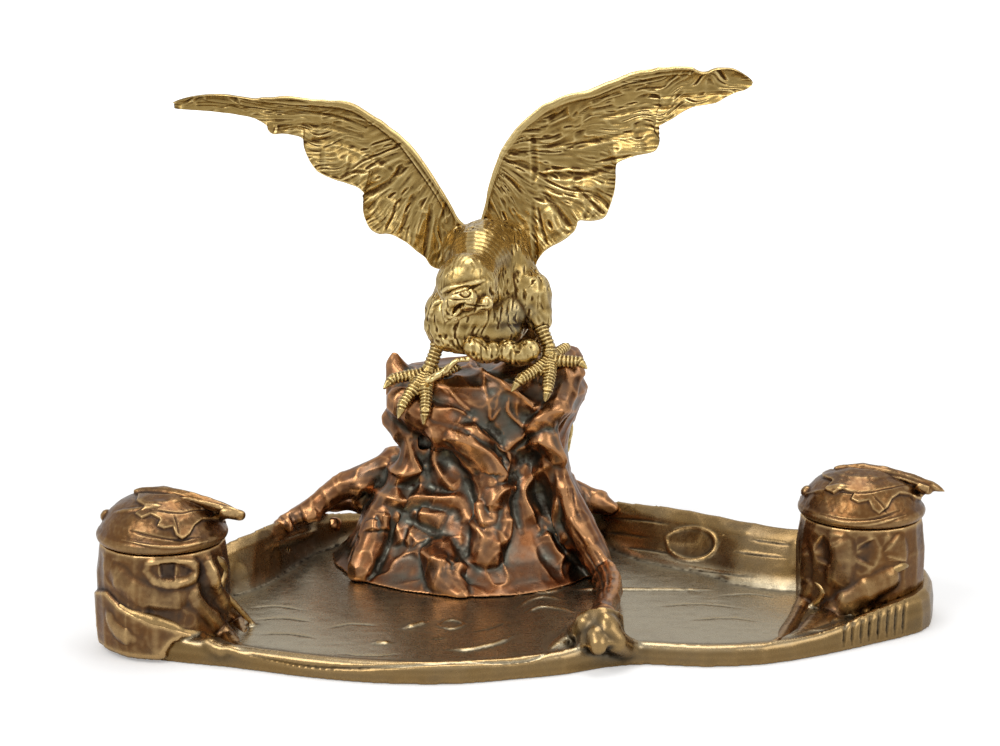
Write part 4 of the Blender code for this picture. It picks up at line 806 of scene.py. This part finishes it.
def patina_group():
    """Builds the patina: metal with wear and painted highlight on crests, painted shade and grime
    in hollows.
    """
    group = bpy.data.node_groups.new("bronze_patina", "ShaderNodeTree")
    for name, default in (("Stain", (0.1, 0.1, 0.1, 1)), ("Metal", (0.5, 0.3, 0.1, 1)),
                          ("Worn", (0.9, 0.7, 0.3, 1)), ("Dark", (0.05, 0.03, 0.01, 1)),
                          ("Tint", (0.2, 0.2, 0.15, 1))):
        group.interface.new_socket(name, in_out="INPUT",
                                   socket_type="NodeSocketColor").default_value = default
    for name, default in (("Wear", 1.0), ("Dirt", 1.0), ("Tint Amount", 0.5),
                          ("Patch Size", 60.0), ("Gloss", 0.3)):
        group.interface.new_socket(name, in_out="INPUT",
                                   socket_type="NodeSocketFloat").default_value = default
    group.interface.new_socket("Color", in_out="OUTPUT", socket_type="NodeSocketColor")
    group.interface.new_socket("Roughness", in_out="OUTPUT", socket_type="NodeSocketFloat")
    group.interface.new_socket("Height", in_out="OUTPUT", socket_type="NodeSocketFloat")
    inside = group.nodes.new("NodeGroupInput")
    inside.location = (-900, 0)
    given = inside.outputs
    out = group.nodes.new("NodeGroupOutput")
    out.location = (900, 0)
    place = group.nodes.new("ShaderNodeTexCoord").outputs["Object"]
    fine = group.nodes.new("ShaderNodeAttribute")
    fine.attribute_name = "fine"
    broad = group.nodes.new("ShaderNodeAttribute")
    broad.attribute_name = "broad"
    patches = noise_node(group, (-700, -300), place, given["Patch Size"], 4.0)
    specks = noise_node(group, (-700, -500), place, 900.0, 3.0)
    streaks = noise_node(group, (-700, -700), place, 320.0, 5.0, 0.7)
    blot = maths(group, "MULTIPLY_ADD", (-500, -300), patches, 4.0, -1.6, True)
    hollow = maths(group, "MAXIMUM", (-500, 200), broad.outputs["Fac"], 0.0)
    tint = maths(group, "MULTIPLY_ADD", (-300, 200), hollow, 1.3,
                 maths(group, "MULTIPLY", (-400, 0), blot, 0.55))
    tint = maths(group, "MULTIPLY", (-100, 200), tint, given["Tint Amount"], clamp=True)
    colour = mixed(group, (100, 200), tint, given["Metal"], given["Tint"])
    stain = group.nodes.new("ShaderNodeAttribute")
    stain.attribute_name = "stain"
    mark = maths(group, "MULTIPLY_ADD", (-100, 350), patches, 0.9, 0.50)
    mark = maths(group, "MULTIPLY", (0, 350), mark, stain.outputs["Fac"], clamp=True)
    colour = mixed(group, (200, 250), mark, colour, given["Stain"])
    # Wear and painted highlight: fine crests and broad bulges are mixed towards the bright colour
    crest = maths(group, "MULTIPLY", (-500, 500), fine.outputs["Fac"], -1.0)
    crest = maths(group, "MAXIMUM", (-400, 500), crest, 0.0)
    high = maths(group, "MULTIPLY", (-500, 650), broad.outputs["Fac"], -0.55)
    high = maths(group, "MAXIMUM", (-400, 650), high, 0.0)
    rub_and_highlight = maths(group, "ADD", (-200, 500), crest, high)
    rub_and_highlight = maths(group, "MULTIPLY", (-100, 500), rub_and_highlight, given["Wear"])
    rub_and_highlight = maths(group, "MULTIPLY", (0, 500), rub_and_highlight,
                 maths(group, "ADD", (-200, 650), specks, 0.55), clamp=True)
    colour = mixed(group, (300, 300), rub_and_highlight, colour, given["Worn"])
    # Painted shade with grime: broad hollows and fine pits darken towards the dark colour, broken
    # by streaks
    pit = maths(group, "MAXIMUM", (-500, 900), fine.outputs["Fac"], 0.0)
    shade_and_grime = maths(group, "MULTIPLY_ADD", (-300, 900), hollow, 0.8, pit)
    grit = maths(group, "MULTIPLY_ADD", (-300, 1100), streaks, 2.4, -0.55)
    shade_and_grime = maths(group, "MULTIPLY", (-100, 900), shade_and_grime, grit)
    shade_and_grime = maths(group, "MULTIPLY", (0, 900), shade_and_grime, given["Dirt"], clamp=True)
    colour = mixed(group, (500, 300), shade_and_grime, colour, given["Dark"])
    group.links.new(colour, out.inputs["Color"])
    rough = maths(group, "MULTIPLY_ADD", (400, -350), streaks, 0.22, given["Gloss"])
    rough = maths(group, "MULTIPLY_ADD", (500, -200), shade_and_grime, 0.25, rough)
    group.links.new(rough, out.inputs["Roughness"])
    height = maths(group, "MULTIPLY_ADD", (500, -500), specks, 0.35,
                   maths(group, "MULTIPLY", (400, -600), streaks, 0.9))
    group.links.new(height, out.inputs["Height"])
    return group


def bronze(name, colours, stain, rub_and_highlight, shade_and_grime, tint, patch, gloss, bump):
    """Makes a bronze from the patina and its own colours and values."""
    material = bpy.data.materials.new(name)
    material.use_nodes = True
    tree = material.node_tree
    shader = tree.nodes["Principled BSDF"]
    patina = tree.nodes.new("ShaderNodeGroup")
    patina.node_tree = bpy.data.node_groups.get("bronze_patina") or patina_group()
    patina.location = (-600, 200)
    for key, colour in zip(("Metal", "Worn", "Dark", "Tint"), colours):
        patina.inputs[key].default_value = (*colour, 1.0)
    patina.inputs["Stain"].default_value = (*stain, 1.0)
    for key, value in (("Wear", rub_and_highlight), ("Dirt", shade_and_grime), ("Tint Amount", tint),
                       ("Patch Size", patch), ("Gloss", gloss)):
        patina.inputs[key].default_value = value
    tree.links.new(patina.outputs["Color"], shader.inputs["Base Color"])
    tree.links.new(patina.outputs["Roughness"], shader.inputs["Roughness"])
    shader.inputs["Metallic"].default_value = 1.0
    rise = socket_node(tree, "ShaderNodeBump", (-250, -200), Strength=bump, Distance=0.0004,
                       Height=patina.outputs["Height"])
    tree.links.new(rise.outputs["Normal"], shader.inputs["Normal"])
    return material


def bronze_of(kind):
    """Gives the bronze of a group of pieces, made once."""
    known = bpy.data.materials.get("bronze_" + kind)
    if known:
        return known
    look = bpy.context.scene.inkstand_finishes
    colours = [tuple(getattr(look, kind + part)) for part in ("", "_worn", "_dark", "_tint")]
    # Amounts of wear with painted highlight and of painted shade with grime, then grey patina,
    # patch size, gloss and bump
    rub_and_highlight, shade_and_grime, tint, patch, gloss, bump = {
        "gilt": (1.0, 1.9, 0.40, 55.0, 0.16, 0.35),
        "rock": (0.9, 0.6, 1.00, 42.0, 0.18, 0.25),
        "tray": (0.6, 0.8, 0.80, 30.0, 0.16, 0.22),
        "pot": (0.75, 0.7, 0.90, 45.0, 0.17, 0.22),
    }[kind]
    stain = tuple(look.tray_floor if kind == "tray" else look.solder)
    return bronze("bronze_" + kind, colours, stain, rub_and_highlight, shade_and_grime, tint, patch, gloss, bump)


def ground_tree():
    """Gives the search tree of the tray, rock and pots."""
    return tree_of([NODES[n] for n in ("tray", "rock_mound", "left_pot", "right_pot")])


class INKSTAND_OT_stage(bpy.types.Operator):
    """Make the floor, lamps, room light and camera"""
    bl_idname = "inkstand.stage"
    bl_label = "Make stage"

    def execute(self, context):
        look = context.scene.inkstand_stage
        floor_mesh = bpy.data.meshes.new("floor")
        bm = bmesh.new()
        bmesh.ops.create_grid(bm, x_segments=1, y_segments=1, size=14.0)
        bm.to_mesh(floor_mesh)
        bm.free()
        floor = new_object("floor", floor_mesh)
        floor.location.z = -0.0002
        material = bpy.data.materials.new("floor_white")
        material.use_nodes = True
        tree = material.node_tree
        shader = tree.nodes["Principled BSDF"]
        shader.inputs["Base Color"].default_value = (*look.floor, 1.0)
        shader.inputs["Roughness"].default_value = 0.9
        shader.inputs["Specular IOR Level"].default_value = 0.1
        seen = tree.nodes.new("ShaderNodeLightPath")
        spot = tree.nodes.new("ShaderNodeNewGeometry").outputs["Position"]
        reach = tree.nodes.new("ShaderNodeVectorMath")
        reach.operation = "LENGTH"
        tree.links.new(spot, reach.inputs[0])
        far = maths(tree, "MULTIPLY_ADD", (-600, -300), reach.outputs["Value"], 1.4, -0.45, True)
        lift = maths(tree, "MULTIPLY_ADD", (-400, -300), far, 0.75, 0.30)
        lift = maths(tree, "MULTIPLY", (-200, -300), seen.outputs["Is Camera Ray"], lift)
        shader.inputs["Emission Color"].default_value = (1, 1, 1, 1)
        tree.links.new(lift, shader.inputs["Emission Strength"])
        floor_mesh.materials.append(material)
        world = bpy.data.worlds.new("room")
        context.scene.world = world
        world.use_nodes = True
        tree = world.node_tree
        seen = tree.nodes.new("ShaderNodeLightPath")
        shown = maths(tree, "MAXIMUM", (-400, 0), seen.outputs["Is Camera Ray"],
                      seen.outputs["Is Transmission Ray"])
        glossy = maths(tree, "MULTIPLY", (-400, -200), seen.outputs["Is Glossy Ray"], 0.25)
        strength = maths(tree, "MULTIPLY_ADD", (-200, 0), shown, 1.0 - look.sky, look.sky)
        strength = maths(tree, "ADD", (-100, 0), strength, glossy)
        back = tree.nodes["Background"]
        back.inputs["Color"].default_value = (1, 1, 1, 1)
        tree.links.new(strength, back.inputs["Strength"])
        for name, power, size, place in (
                ("key_lamp", look.key_power, 0.9, (-0.9, -0.9, 1.3)),
                ("fill_lamp", look.fill_power, 0.9, (1.1, -0.7, 0.9)),
                ("top_lamp", look.top_power, 0.8, (0.1, 0.3, 1.5))):
            lamp = bpy.data.lights.new(name, "AREA")
            lamp.energy, lamp.size = power, size
            obj = bpy.data.objects.new(name, lamp)
            obj.location = place
            obj.rotation_euler = (Vector((0, 0, 0.1)) - Vector(place)).to_track_quat(
                "-Z", "Y").to_euler()
            context.scene.collection.objects.link(obj)
        camera = bpy.data.cameras.new("camera")
        camera.lens, camera.sensor_width = LENS, SENSOR_WIDTH
        obj = bpy.data.objects.new("camera", camera)
        obj.location = CAMERA_PLACE
        obj.rotation_euler = (math.pi / 2 - CAMERA_DIP, 0, 0)
        context.scene.collection.objects.link(obj)
        context.scene.camera = obj
        context.scene.view_settings.view_transform = "Standard"
        return {"FINISHED"}


def rock_plug(bm):
    """Adds a core that fills the rock's hollow, out of sight.

    Each ring has its height in millimetres, then its reach to the left, right, front and
    back in tenths of a metre. The tube at the end closes a hole in the rock's left side.
    """
    rings = ((8.4, 0.78, 0.64, 0.72, 0.40), (13, 0.70, 0.58, 0.64, 0.40),
             (20, 0.65, 0.53, 0.56, 0.41), (33, 0.60, 0.48, 0.47, 0.40),
             (50, 0.48, 0.42, 0.38, 0.35), (64, 0.38, 0.42, 0.32, 0.32),
             (80, 0.36, 0.43, 0.31, 0.28), (96, 0.38, 0.43, 0.28, 0.20))
    loops = []
    for z, left, right, front, back in rings:
        loop = []
        for step in range(24):
            angle = math.tau * step / 24
            c, s = math.cos(angle), math.sin(angle)
            loop.append(bm.verts.new((-0.0198 + c * 0.1 * (right if c > 0 else left),
                                      0.058 + s * 0.1 * (back if s > 0 else front), z * MM)))
        loops.append(loop)
    for low, high in zip(loops, loops[1:]):
        for k in range(24):
            bm.faces.new((low[k], low[(k + 1) % 24], high[(k + 1) % 24], high[k]))
    bm.faces.new(loops[0][::-1])
    bm.faces.new(loops[-1])
    add_tube(bm, [at_depth(420, 448, 0.044), at_depth(436, 434, 0.042)], (0.010, 0.010))


def tubes_on(tree, table, share):
    """Lays a table of tubes on a surface, sunk by a share of their radius."""
    tubes = []
    for radius, path in table:
        line = traced(path, tree)
        if len(line) > 1:
            tubes.append((sunk_line(line, tree, share, radius), tube_radii(line, radius)))
    return tubes


def lines_on(tree, table):
    """Lays a table of relief lines on a surface."""
    laid = [(half, height, traced(path, tree)) for half, height, path in table]
    return [row for row in laid if len(row[2]) > 1]


class INKSTAND_OT_rock(bpy.types.Operator):
    """Make the rock with its folds and roots"""
    bl_idname = "inkstand.rock"
    bl_label = "Make rock"

    def execute(self, context):
        look = context.scene.inkstand_casting
        tree = ground_tree()
        obj = cast_mesh("rock", ["rock_mound"], tubes_on(tree, ROCK_TUBES, 1.15),
                        look.rock_grain, 5, rock_plug)
        points = points_of(obj.data)
        lines = lines_on(tree_of([obj]), ROCK_LINES)
        relief = line_field(points, lines)
        crests = [(6.0 + radius, 1.6 + radius, traced(path, tree))
                  for radius, path in ROCK_TUBES]
        relief += line_field(points, crests, "crest")
        warp = np.stack([grain(points, 0.020, k) for k in (1, 2, 3)], 1) * 0.006
        long = (points + warp) * np.array([1.0, 1.0, 0.6])
        folds = (1 - np.abs(grain(long, 0.019, 4))) ** 3
        small = (1 - np.abs(grain(long, 0.009, 5))) ** 3
        behind = np.clip((points[:, 1] - 0.05) / 0.02, 0, 1)
        relief += folds * (0.0012 + 0.0020 * behind) + small * 0.0006 - 0.0012
        relief += grain(points, 0.0024, 6) * 0.00006
        low = np.clip((points[:, 2] - 0.0085) / 0.004, 0, 1)
        finish_cast(obj, relief * low)
        dressed(obj, "stand", "rock_bronze", bronze_of("rock"), "rock_mound")
        return {"FINISHED"}


class INKSTAND_OT_tray(bpy.types.Operator):
    """Make the tray with its pools, banks and water plants"""
    bl_idname = "inkstand.tray"
    bl_label = "Make tray"

    def execute(self, context):
        look = context.scene.inkstand_casting
        tree = ground_tree()
        obj = cast_mesh("tray_casting", ["tray"], tubes_on(tree, TRAY_TUBES, 0.55),
                        look.tray_grain, 5)
        points, normals = points_of(obj.data), normals_of(obj.data)
        even = outlined(points, normals, BANK_AREA, 9.0)[:, None]
        points += even * (blurred(points, edges_of(obj.data), 160) - points)
        set_points(obj.data, points)
        normals = normals_of(obj.data)
        relief = line_field(points, lines_on(tree_of([obj]), TRAY_LINES))
        upper = np.clip(normals[:, 2] * 4 + 1, 0, 1) * np.clip((points[:, 2] - 0.003) / 0.004, 0, 1)
        bank = np.clip((points[:, 2] - 0.011) / 0.008, 0, 1)
        folds = (1 - np.abs(grain(points * np.array([1.0, 0.6, 1.0]), 0.017, 11))) ** 2
        ripples = grain(points * np.array([0.35, 1.5, 1.0]), 0.005, 12)
        relief += upper * (bank * folds * 0.0006 + (1 - bank) * ripples * 0.00005
                           + grain(points, 0.004, 13) * 0.00005)
        relief *= np.clip((normals[:, 2] + 0.5) * 2, 0, 1)
        floor = np.clip((0.0135 - points[:, 2]) / 0.004, 0, 1)
        floor *= np.clip(normals[:, 2] * 3 - 1, 0, 1)
        finish_cast(obj, relief, stain=floor)
        dressed(obj, "stand", "tray_bronze", bronze_of("tray"), "tray")
        return {"FINISHED"}


def turned_shell(place, profile):
    """Gives a function that adds a smooth turned shell to a mesh, from (radius, z) pairs."""
    def add(bm):
        line = eased(profile, 6)
        loops = []
        for radius, z in line:
            loops.append([bm.verts.new((place[0] + math.cos(math.tau * k / 96) * radius,
                                        place[1] + math.sin(math.tau * k / 96) * radius, z))
                          for k in range(96)])
        loops.append(loops[0])
        for low, high in zip(loops, loops[1:]):
            for k in range(96):
                bm.faces.new((low[k], low[(k + 1) % 96], high[(k + 1) % 96], high[k]))
    return add


def pot_tubes(tree, x, y):
    """Gives the roots that lie against the pot at a place."""
    return [(line, radii) for line, radii in tubes_on(tree, POT_TUBES, 0.62)
            if np.hypot(line[:, 0] - x, line[:, 1] - y).min() < 0.04]


def hinge_calm(points, side, reach=0.006):
    """Gives 0 near a lid's hinge and 1 away from it."""
    x, y, z = HINGE_PLACES[side]
    gap = np.hypot(points[:, 1] - y, points[:, 2] - z)
    calm = np.clip((gap - reach) / 0.004, 0, 1)
    return np.where(np.abs(points[:, 0] - x) > 0.014, 1.0, calm)


class INKSTAND_OT_pots(bpy.types.Operator):
    """Make the two ink pots like hollow tree stumps"""
    bl_idname = "inkstand.pots"
    bl_label = "Make pots"

    def execute(self, context):
        look = context.scene.inkstand_casting
        tree = ground_tree()
        for side in ("left", "right"):
            x, y = POT_PLACES[side]
            obj = cast_mesh(side + "_pot_casting", [side + "_pot"],
                            pot_tubes(tree, x, y), look.pot_grain, 7)
            points = points_of(obj.data)
            relief = line_field(points, lines_on(tree_of([obj]), POT_LINES))
            relief += 0.0017 * outlined(points, normals_of(obj.data), POT_BANK, 3.0)
            out = np.hypot(points[:, 0] - x, points[:, 1] - y)
            outer = np.clip((out - 0.0272) / 0.001, 0, 1)
            rim = np.clip((0.0488 - points[:, 2]) / 0.0022, 0, 1)
            angle = np.arctan2(points[:, 1] - y, points[:, 0] - x)
            bark = np.stack([np.cos(angle) * 0.03, np.sin(angle) * 0.03,
                             points[:, 2] * 0.38], 1)
            bark += np.stack([grain(points, 0.012, k) for k in (21, 22, 23)], 1) * 0.004
            folds = (1 - np.abs(grain(bark, 0.014, 24))) ** 2
            relief += folds * 0.0007 - 0.0002 + grain(points, 0.013, 25) * 0.0006
            relief += grain(points, 0.0018, 26) * 0.00005
            relief *= outer * rim * hinge_calm(points, side, 0.008)
            finish_cast(obj, relief)
            dressed(obj, "stand", "pot_bronze", bronze_of("pot"), side + "_pot")
        return {"FINISHED"}


class INKSTAND_OT_lids(bpy.types.Operator):
    """Make the two lids with their leaf and stem"""
    bl_idname = "inkstand.lids"
    bl_label = "Make lids"

    def execute(self, context):
        look = context.scene.inkstand_casting
        for side in ("left", "right"):
            node = side + "_lid"
            tree = tree_of([NODES[node]])
            obj = cast_mesh(node + "_casting", [node], tubes_on(tree, LID_TUBES[side], 0.15),
                            look.lid_grain, 4, turned_shell(POT_PLACES[side], LID_SHELL))
            points, normals = points_of(obj.data), normals_of(obj.data)
            relief = line_field(points, lines_on(tree_of([obj]), LID_LINES[side]))
            leaf = outlined(points, normals, LID_LEAVES[side], 1.6)
            relief += leaf * (0.0011 + 0.0007 * grain(points, 0.0075, 33))
            up = np.clip((points[:, 2] - 0.0515) / 0.002, 0, 1) * np.clip(normals[:, 2] + 0.6, 0, 1)
            relief += grain(points, 0.0045, 31) * 0.00025 + grain(points, 0.0016, 32) * 0.00008
            finish_cast(obj, relief * up * hinge_calm(points, side))
            dressed(obj, node, "pot_bronze", bronze_of("pot"), node)
        return {"FINISHED"}


class INKSTAND_OT_body(bpy.types.Operator):
    """Make the eagle's body, head and tail"""
    bl_idname = "inkstand.body"
    bl_label = "Make eagle's body"

    def execute(self, context):
        look = context.scene.inkstand_casting
        tubes = []
        for start, end, depth, path in BODY_TUBES:
            pixels = np.array(path, float).reshape(-1, 2)
            pixels = eased(pixels, 3) if len(pixels) > 2 else pixels
            line = [tuple(at_depth(px, py, depth * MM)) for px, py in pixels]
            tubes.append((line, np.linspace(start, end, len(line)) * MM))
        obj = cast_mesh("eagle_casting", ["eagle_body"], tubes, look.body_grain, 6)
        points, normals = points_of(obj.data), normals_of(obj.data)
        relief = line_field(points, lines_on(tree_of([obj]), BODY_LINES))
        px, py = photo_pixels(points)
        facing = np.clip(-(normals @ np.array(photo_way(*NAPE))) * 3, 0, 1)
        reach = np.hypot(px - NAPE[0], (py - NAPE[1]) * 1.08)
        ring = np.clip((reach - NAPE_REACH[0]) / 3, 0, 1)
        ring *= np.clip((NAPE_REACH[1] - reach) / 5, 0, 1)
        ring *= np.clip((NAPE[1] + 4 - py) / 8, 0, 1) * facing
        relief -= ring * 0.00012 * (0.5 + 0.5 * np.cos(math.tau * reach / NAPE_STEP)) ** 3
        plain = np.maximum(ring, 1.5 * facing * np.clip(
            1 - np.hypot(px - HEAD[0], py - HEAD[1]) / 34, 0, 1))
        plain = np.clip(1 - plain, 0, 1)
        warp = np.stack([grain(points, 0.009, k) for k in (41, 42, 43)], 1) * 0.003
        long = (points + warp) * np.array([1.0, 0.8, 0.42])
        plumes = 1 - 2.2 * np.abs(grain(long, 0.0042, 44))
        barbs = -2.4 * np.clip(grain(long * np.array([1.0, 1.0, 0.7]), 0.0013, 45) - 0.12, 0, 1)
        relief += plain * (plumes * 0.00026 + barbs * 0.00042)
        relief += (1 - plain) * grain(points, 0.0011, 46) * 0.00005
        stain = np.clip(1.5 - np.hypot(px - SOLDER_PATCH[0], (py - SOLDER_PATCH[1]) * 1.1) / 18
                        + grain(points, 0.003, 47) * 0.4, 0, 1) * facing
        finish_cast(obj, relief, stain=stain)
        dressed(obj, "stand", "gilt_bronze", bronze_of("gilt"), "eagle_body")
        return {"FINISHED"}


def along_runs(points, runs):
    """Gives the way along, the gap to and the share of the nearest run."""
    gap = np.full(len(points), np.inf)
    way_along, share = np.zeros(len(points)), np.zeros(len(points))
    for run in runs:
        line = np.array(run, float) * MM
        steps = np.linalg.norm(np.diff(line, axis=0), axis=1)
        start = 0.0
        for k, length in enumerate(steps):
            way = line[k + 1] - line[k]
            t = np.clip((points - line[k]) @ way / (way @ way), 0, 1)
            d = np.linalg.norm(points - line[k] - t[:, None] * way, axis=1)
            closer = d < gap
            gap[closer] = d[closer]
            way_along[closer] = start + t[closer] * length
            share[closer] = (start + t[closer] * length) / steps.sum()
            start += length
    return way_along, gap, share


class INKSTAND_OT_legs(bpy.types.Operator):
    """Make the ringed legs, toes and claws"""
    bl_idname = "inkstand.legs"
    bl_label = "Make legs"

    def execute(self, context):
        look = context.scene.inkstand_casting
        for side, runs in LEG_RUNS.items():
            node = side + "_leg"
            obj = cast_mesh(node + "_casting", [node], [], look.leg_grain, 2)
            points = points_of(obj.data)
            along, _, share = along_runs(points, runs)
            toes = share < 0.86
            phase = np.cos(math.tau * along / 0.0019)
            rings = np.where(toes, np.abs(phase) ** 0.6 * np.sign(phase) * 0.00022 - 0.0001, 0.0)
            finish_cast(obj, rings + grain(points, 0.0012, 51) * 0.00004)
            dressed(obj, "stand", "gilt_bronze", bronze_of("gilt"), node)
        return {"FINISHED"}


def wing_point(px, py, lean):
    """Places a pixel of a wing on the wing's leaning chord."""
    xs, ys = np.array(lean).T
    y = ys[len(ys) // 2] * MM
    for _ in range(4):
        point = at_depth(px, py, y)
        y = float(np.interp(point.x / MM, xs, ys)) * MM
    return np.array(at_depth(px, py, y))


class INKSTAND_OT_wings(bpy.types.Operator):
    """Make the two spread wings with their feathers"""
    bl_idname = "inkstand.wings"
    bl_label = "Make wings"

    def execute(self, context):
        steps = context.scene.inkstand_casting.wing_steps
        across = steps * 3 // 8
        for side, rows in WING_ROWS.items():
            lean = WING_LEAN[side]
            leads = eased([wing_point(a, b, lean) for a, b, _, _ in rows], 12)
            trails = eased([wing_point(c, d, lean) for _, _, c, d in rows], 12)
            length = np.concatenate([[0], np.cumsum(
                np.linalg.norm(np.diff(leads, axis=0), axis=1)
                + np.linalg.norm(np.diff(trails, axis=0), axis=1))])
            at = np.linspace(0, length[-1], steps)
            leads = np.stack([np.interp(at, length, leads[:, k]) for k in range(3)], 1)
            trails = np.stack([np.interp(at, length, trails[:, k]) for k in range(3)], 1)
            v = np.linspace(0, 1, across)
            chord = trails - leads
            size = np.linalg.norm(chord, axis=1)
            cup = WING_CUP * size[:, None] * np.sin(math.pi * v ** WING_CUP_LEAN)[None, :]
            middle = leads[:, None, :] + chord[:, None, :] * v[None, :, None]
            middle[:, :, 1] += cup
            ways, thins = np.array(WING_SECTION).T
            thick = WING_LEAD + np.interp(v, ways, thins) * (WING_TRAIL - WING_LEAD)
            thick = np.minimum(thick[None, :] * MM, size[:, None] * 0.5 + 0.0012)
            edge = np.sqrt(np.clip(np.minimum(v / 0.03, (1 - v) / 0.02), 0, 1))
            thick = thick * (0.25 + 0.75 * edge[None, :])
            front, back = middle.copy(), middle.copy()
            front[:, :, 1] -= thick / 2
            back[:, :, 1] += thick / 2
            grid = np.stack([front, back])
            count = steps * across
            verts = grid.reshape(-1, 3)
            i, j = np.meshgrid(np.arange(steps - 1), np.arange(across - 1), indexing="ij")
            a = (i * across + j).ravel()
            quads = np.stack([a, a + 1, a + across + 1, a + across], 1)
            faces = [quads, quads[:, ::-1] + count]
            for line in (np.arange(steps) * across, np.arange(steps)[::-1] * across + across - 1):
                s, e = line[:-1], line[1:]
                faces.append(np.stack([s, e, e + count, s + count], 1))
            for line in (np.arange(across)[::-1], np.arange(across) + (steps - 1) * across):
                s, e = line[:-1], line[1:]
                faces.append(np.stack([s, e, e + count, s + count], 1))
            mesh = bpy.data.meshes.new(side + "_wing_casting")
            mesh.from_pydata(verts.tolist(), [], np.concatenate(faces).tolist())
            bm = bmesh.new()
            bm.from_mesh(mesh)
            bmesh.ops.recalc_face_normals(bm, faces=bm.faces)
            bm.to_mesh(mesh)
            bm.free()
            obj = new_object(side + "_wing_casting", mesh)
            points = points_of(mesh)
            vv = np.tile(np.tile(v, steps), 2)
            relief = line_field(points, lines_on(tree_of([obj]), WING_LINES[side]))
            px, py = photo_pixels(points)
            fx, fy = FAN_CENTRES[side]
            turn = np.arctan2(py - fy, np.abs(px - fx)) + grain(points, 0.011, 61) * 0.05
            far = np.hypot(px - fx, py - fy) * PIXEL_SIZE
            for near, weight in ((0.035, np.clip((0.085 - far) / 0.04, 0, 1)),
                                 (0.095, np.clip((far - 0.045) / 0.04, 0, 1))):
                for width, height, seed, cut in WING_HATCH:
                    spots = np.stack([turn * near, far * cut, np.zeros_like(far)], 1)
                    mark = grain(spots, width, seed)
                    relief += weight * height * (mark * 0.5 - np.clip(mark - 0.2, 0, 1) * 2.6)
            lead_edge = np.clip((vv - 0.05) / 0.06, 0.15, 1)
            tail_edge = np.clip((1 - vv) / 0.03, 0.3, 1)
            relief *= lead_edge * tail_edge
            finish_cast(obj, relief)
            dressed(obj, "stand", "gilt_bronze", bronze_of("gilt"), side + "_wing")
        return {"FINISHED"}


def plain_material(name, colour, roughness, metallic, transmission=0.0, bump=0.05):
    """Makes a finish with fine scratches for a turned or blown part."""
    material = bpy.data.materials.new(name)
    material.use_nodes = True
    tree = material.node_tree
    shader = tree.nodes["Principled BSDF"]
    place = tree.nodes.new("ShaderNodeTexCoord").outputs["Object"]
    marks = noise_node(tree, (-600, 0), place, 420.0, 4.0)
    dark = tuple(part * 0.6 for part in colour)
    tree.links.new(mixed(tree, (-300, 200), marks, (*dark, 1.0), (*colour, 1.0)),
                   shader.inputs["Base Color"])
    shader.inputs["Roughness"].default_value = roughness
    shader.inputs["Metallic"].default_value = metallic
    shader.inputs["Transmission Weight"].default_value = transmission
    rise = socket_node(tree, "ShaderNodeBump", (-250, -200), Strength=bump, Distance=0.0003,
                       Height=marks)
    tree.links.new(rise.outputs["Normal"], shader.inputs["Normal"])
    return material


class INKSTAND_OT_fittings(bpy.types.Operator):
    """Finish the liners, hinge pins, screws, studs, washers, nuts and dowels"""
    bl_idname = "inkstand.fittings"
    bl_label = "Finish fittings"

    def execute(self, context):
        glass = plain_material("liner_glass_finish", (0.80, 0.87, 0.85), 0.06, 0.0, 0.85)
        steel = plain_material("steel_finish", (0.50, 0.48, 0.45), 0.38, 1.0, 0.0, 0.2)
        brass = plain_material("brass_finish", (0.62, 0.44, 0.18), 0.32, 1.0, 0.0, 0.2)
        for name, obj in NODES.items():
            if obj.hide_render:
                continue
            if name.endswith("liner"):
                material = glass
            elif "screw" in name or "nut" in name or "washer" in name or "stud" in name:
                material = steel
            else:
                material = brass
            for slot in obj.material_slots:
                slot.material = material
        return {"FINISHED"}


class INKSTAND_PT_panel(bpy.types.Panel):
    """Lists the inkstand's pieces and settings"""
    bl_idname = "INKSTAND_PT_panel"
    bl_label = "Inkstand"
    bl_space_type = "VIEW_3D"
    bl_region_type = "UI"
    bl_category = "Inkstand"

    def draw(self, context):
        for operator in OPERATORS:
            self.layout.operator(operator.bl_idname)
        for settings in (context.scene.inkstand_finishes, context.scene.inkstand_casting,
                         context.scene.inkstand_stage):
            column = self.layout.column()
            for name in settings.__annotations__:
                column.prop(settings, name)


OPERATORS = (INKSTAND_OT_stage, INKSTAND_OT_rock, INKSTAND_OT_tray, INKSTAND_OT_pots,
             INKSTAND_OT_lids, INKSTAND_OT_body, INKSTAND_OT_legs, INKSTAND_OT_wings,
             INKSTAND_OT_fittings)
SETTINGS = {"inkstand_finishes": InkstandFinishes, "inkstand_casting": InkstandCasting,
            "inkstand_stage": InkstandStage}


def register():
    """Registers the settings, operators and panel."""
    for group in SETTINGS.values():
        bpy.utils.register_class(group)
    for name, group in SETTINGS.items():
        setattr(bpy.types.Scene, name, PointerProperty(type=group))
    for operator in OPERATORS:
        bpy.utils.register_class(operator)
    bpy.utils.register_class(INKSTAND_PT_panel)


def unregister():
    """Removes the panel, operators and settings."""
    bpy.utils.unregister_class(INKSTAND_PT_panel)
    for operator in reversed(OPERATORS):
        bpy.utils.unregister_class(operator)
    for name in SETTINGS:
        delattr(bpy.types.Scene, name)
    for group in reversed(SETTINGS.values()):
        bpy.utils.unregister_class(group)


def main():
    """Makes the stage and every piece."""
    register()
    for operator in OPERATORS:
        group, name = operator.bl_idname.split(".")
        getattr(getattr(bpy.ops, group), name)()


if __name__ == "__main__":
    main()
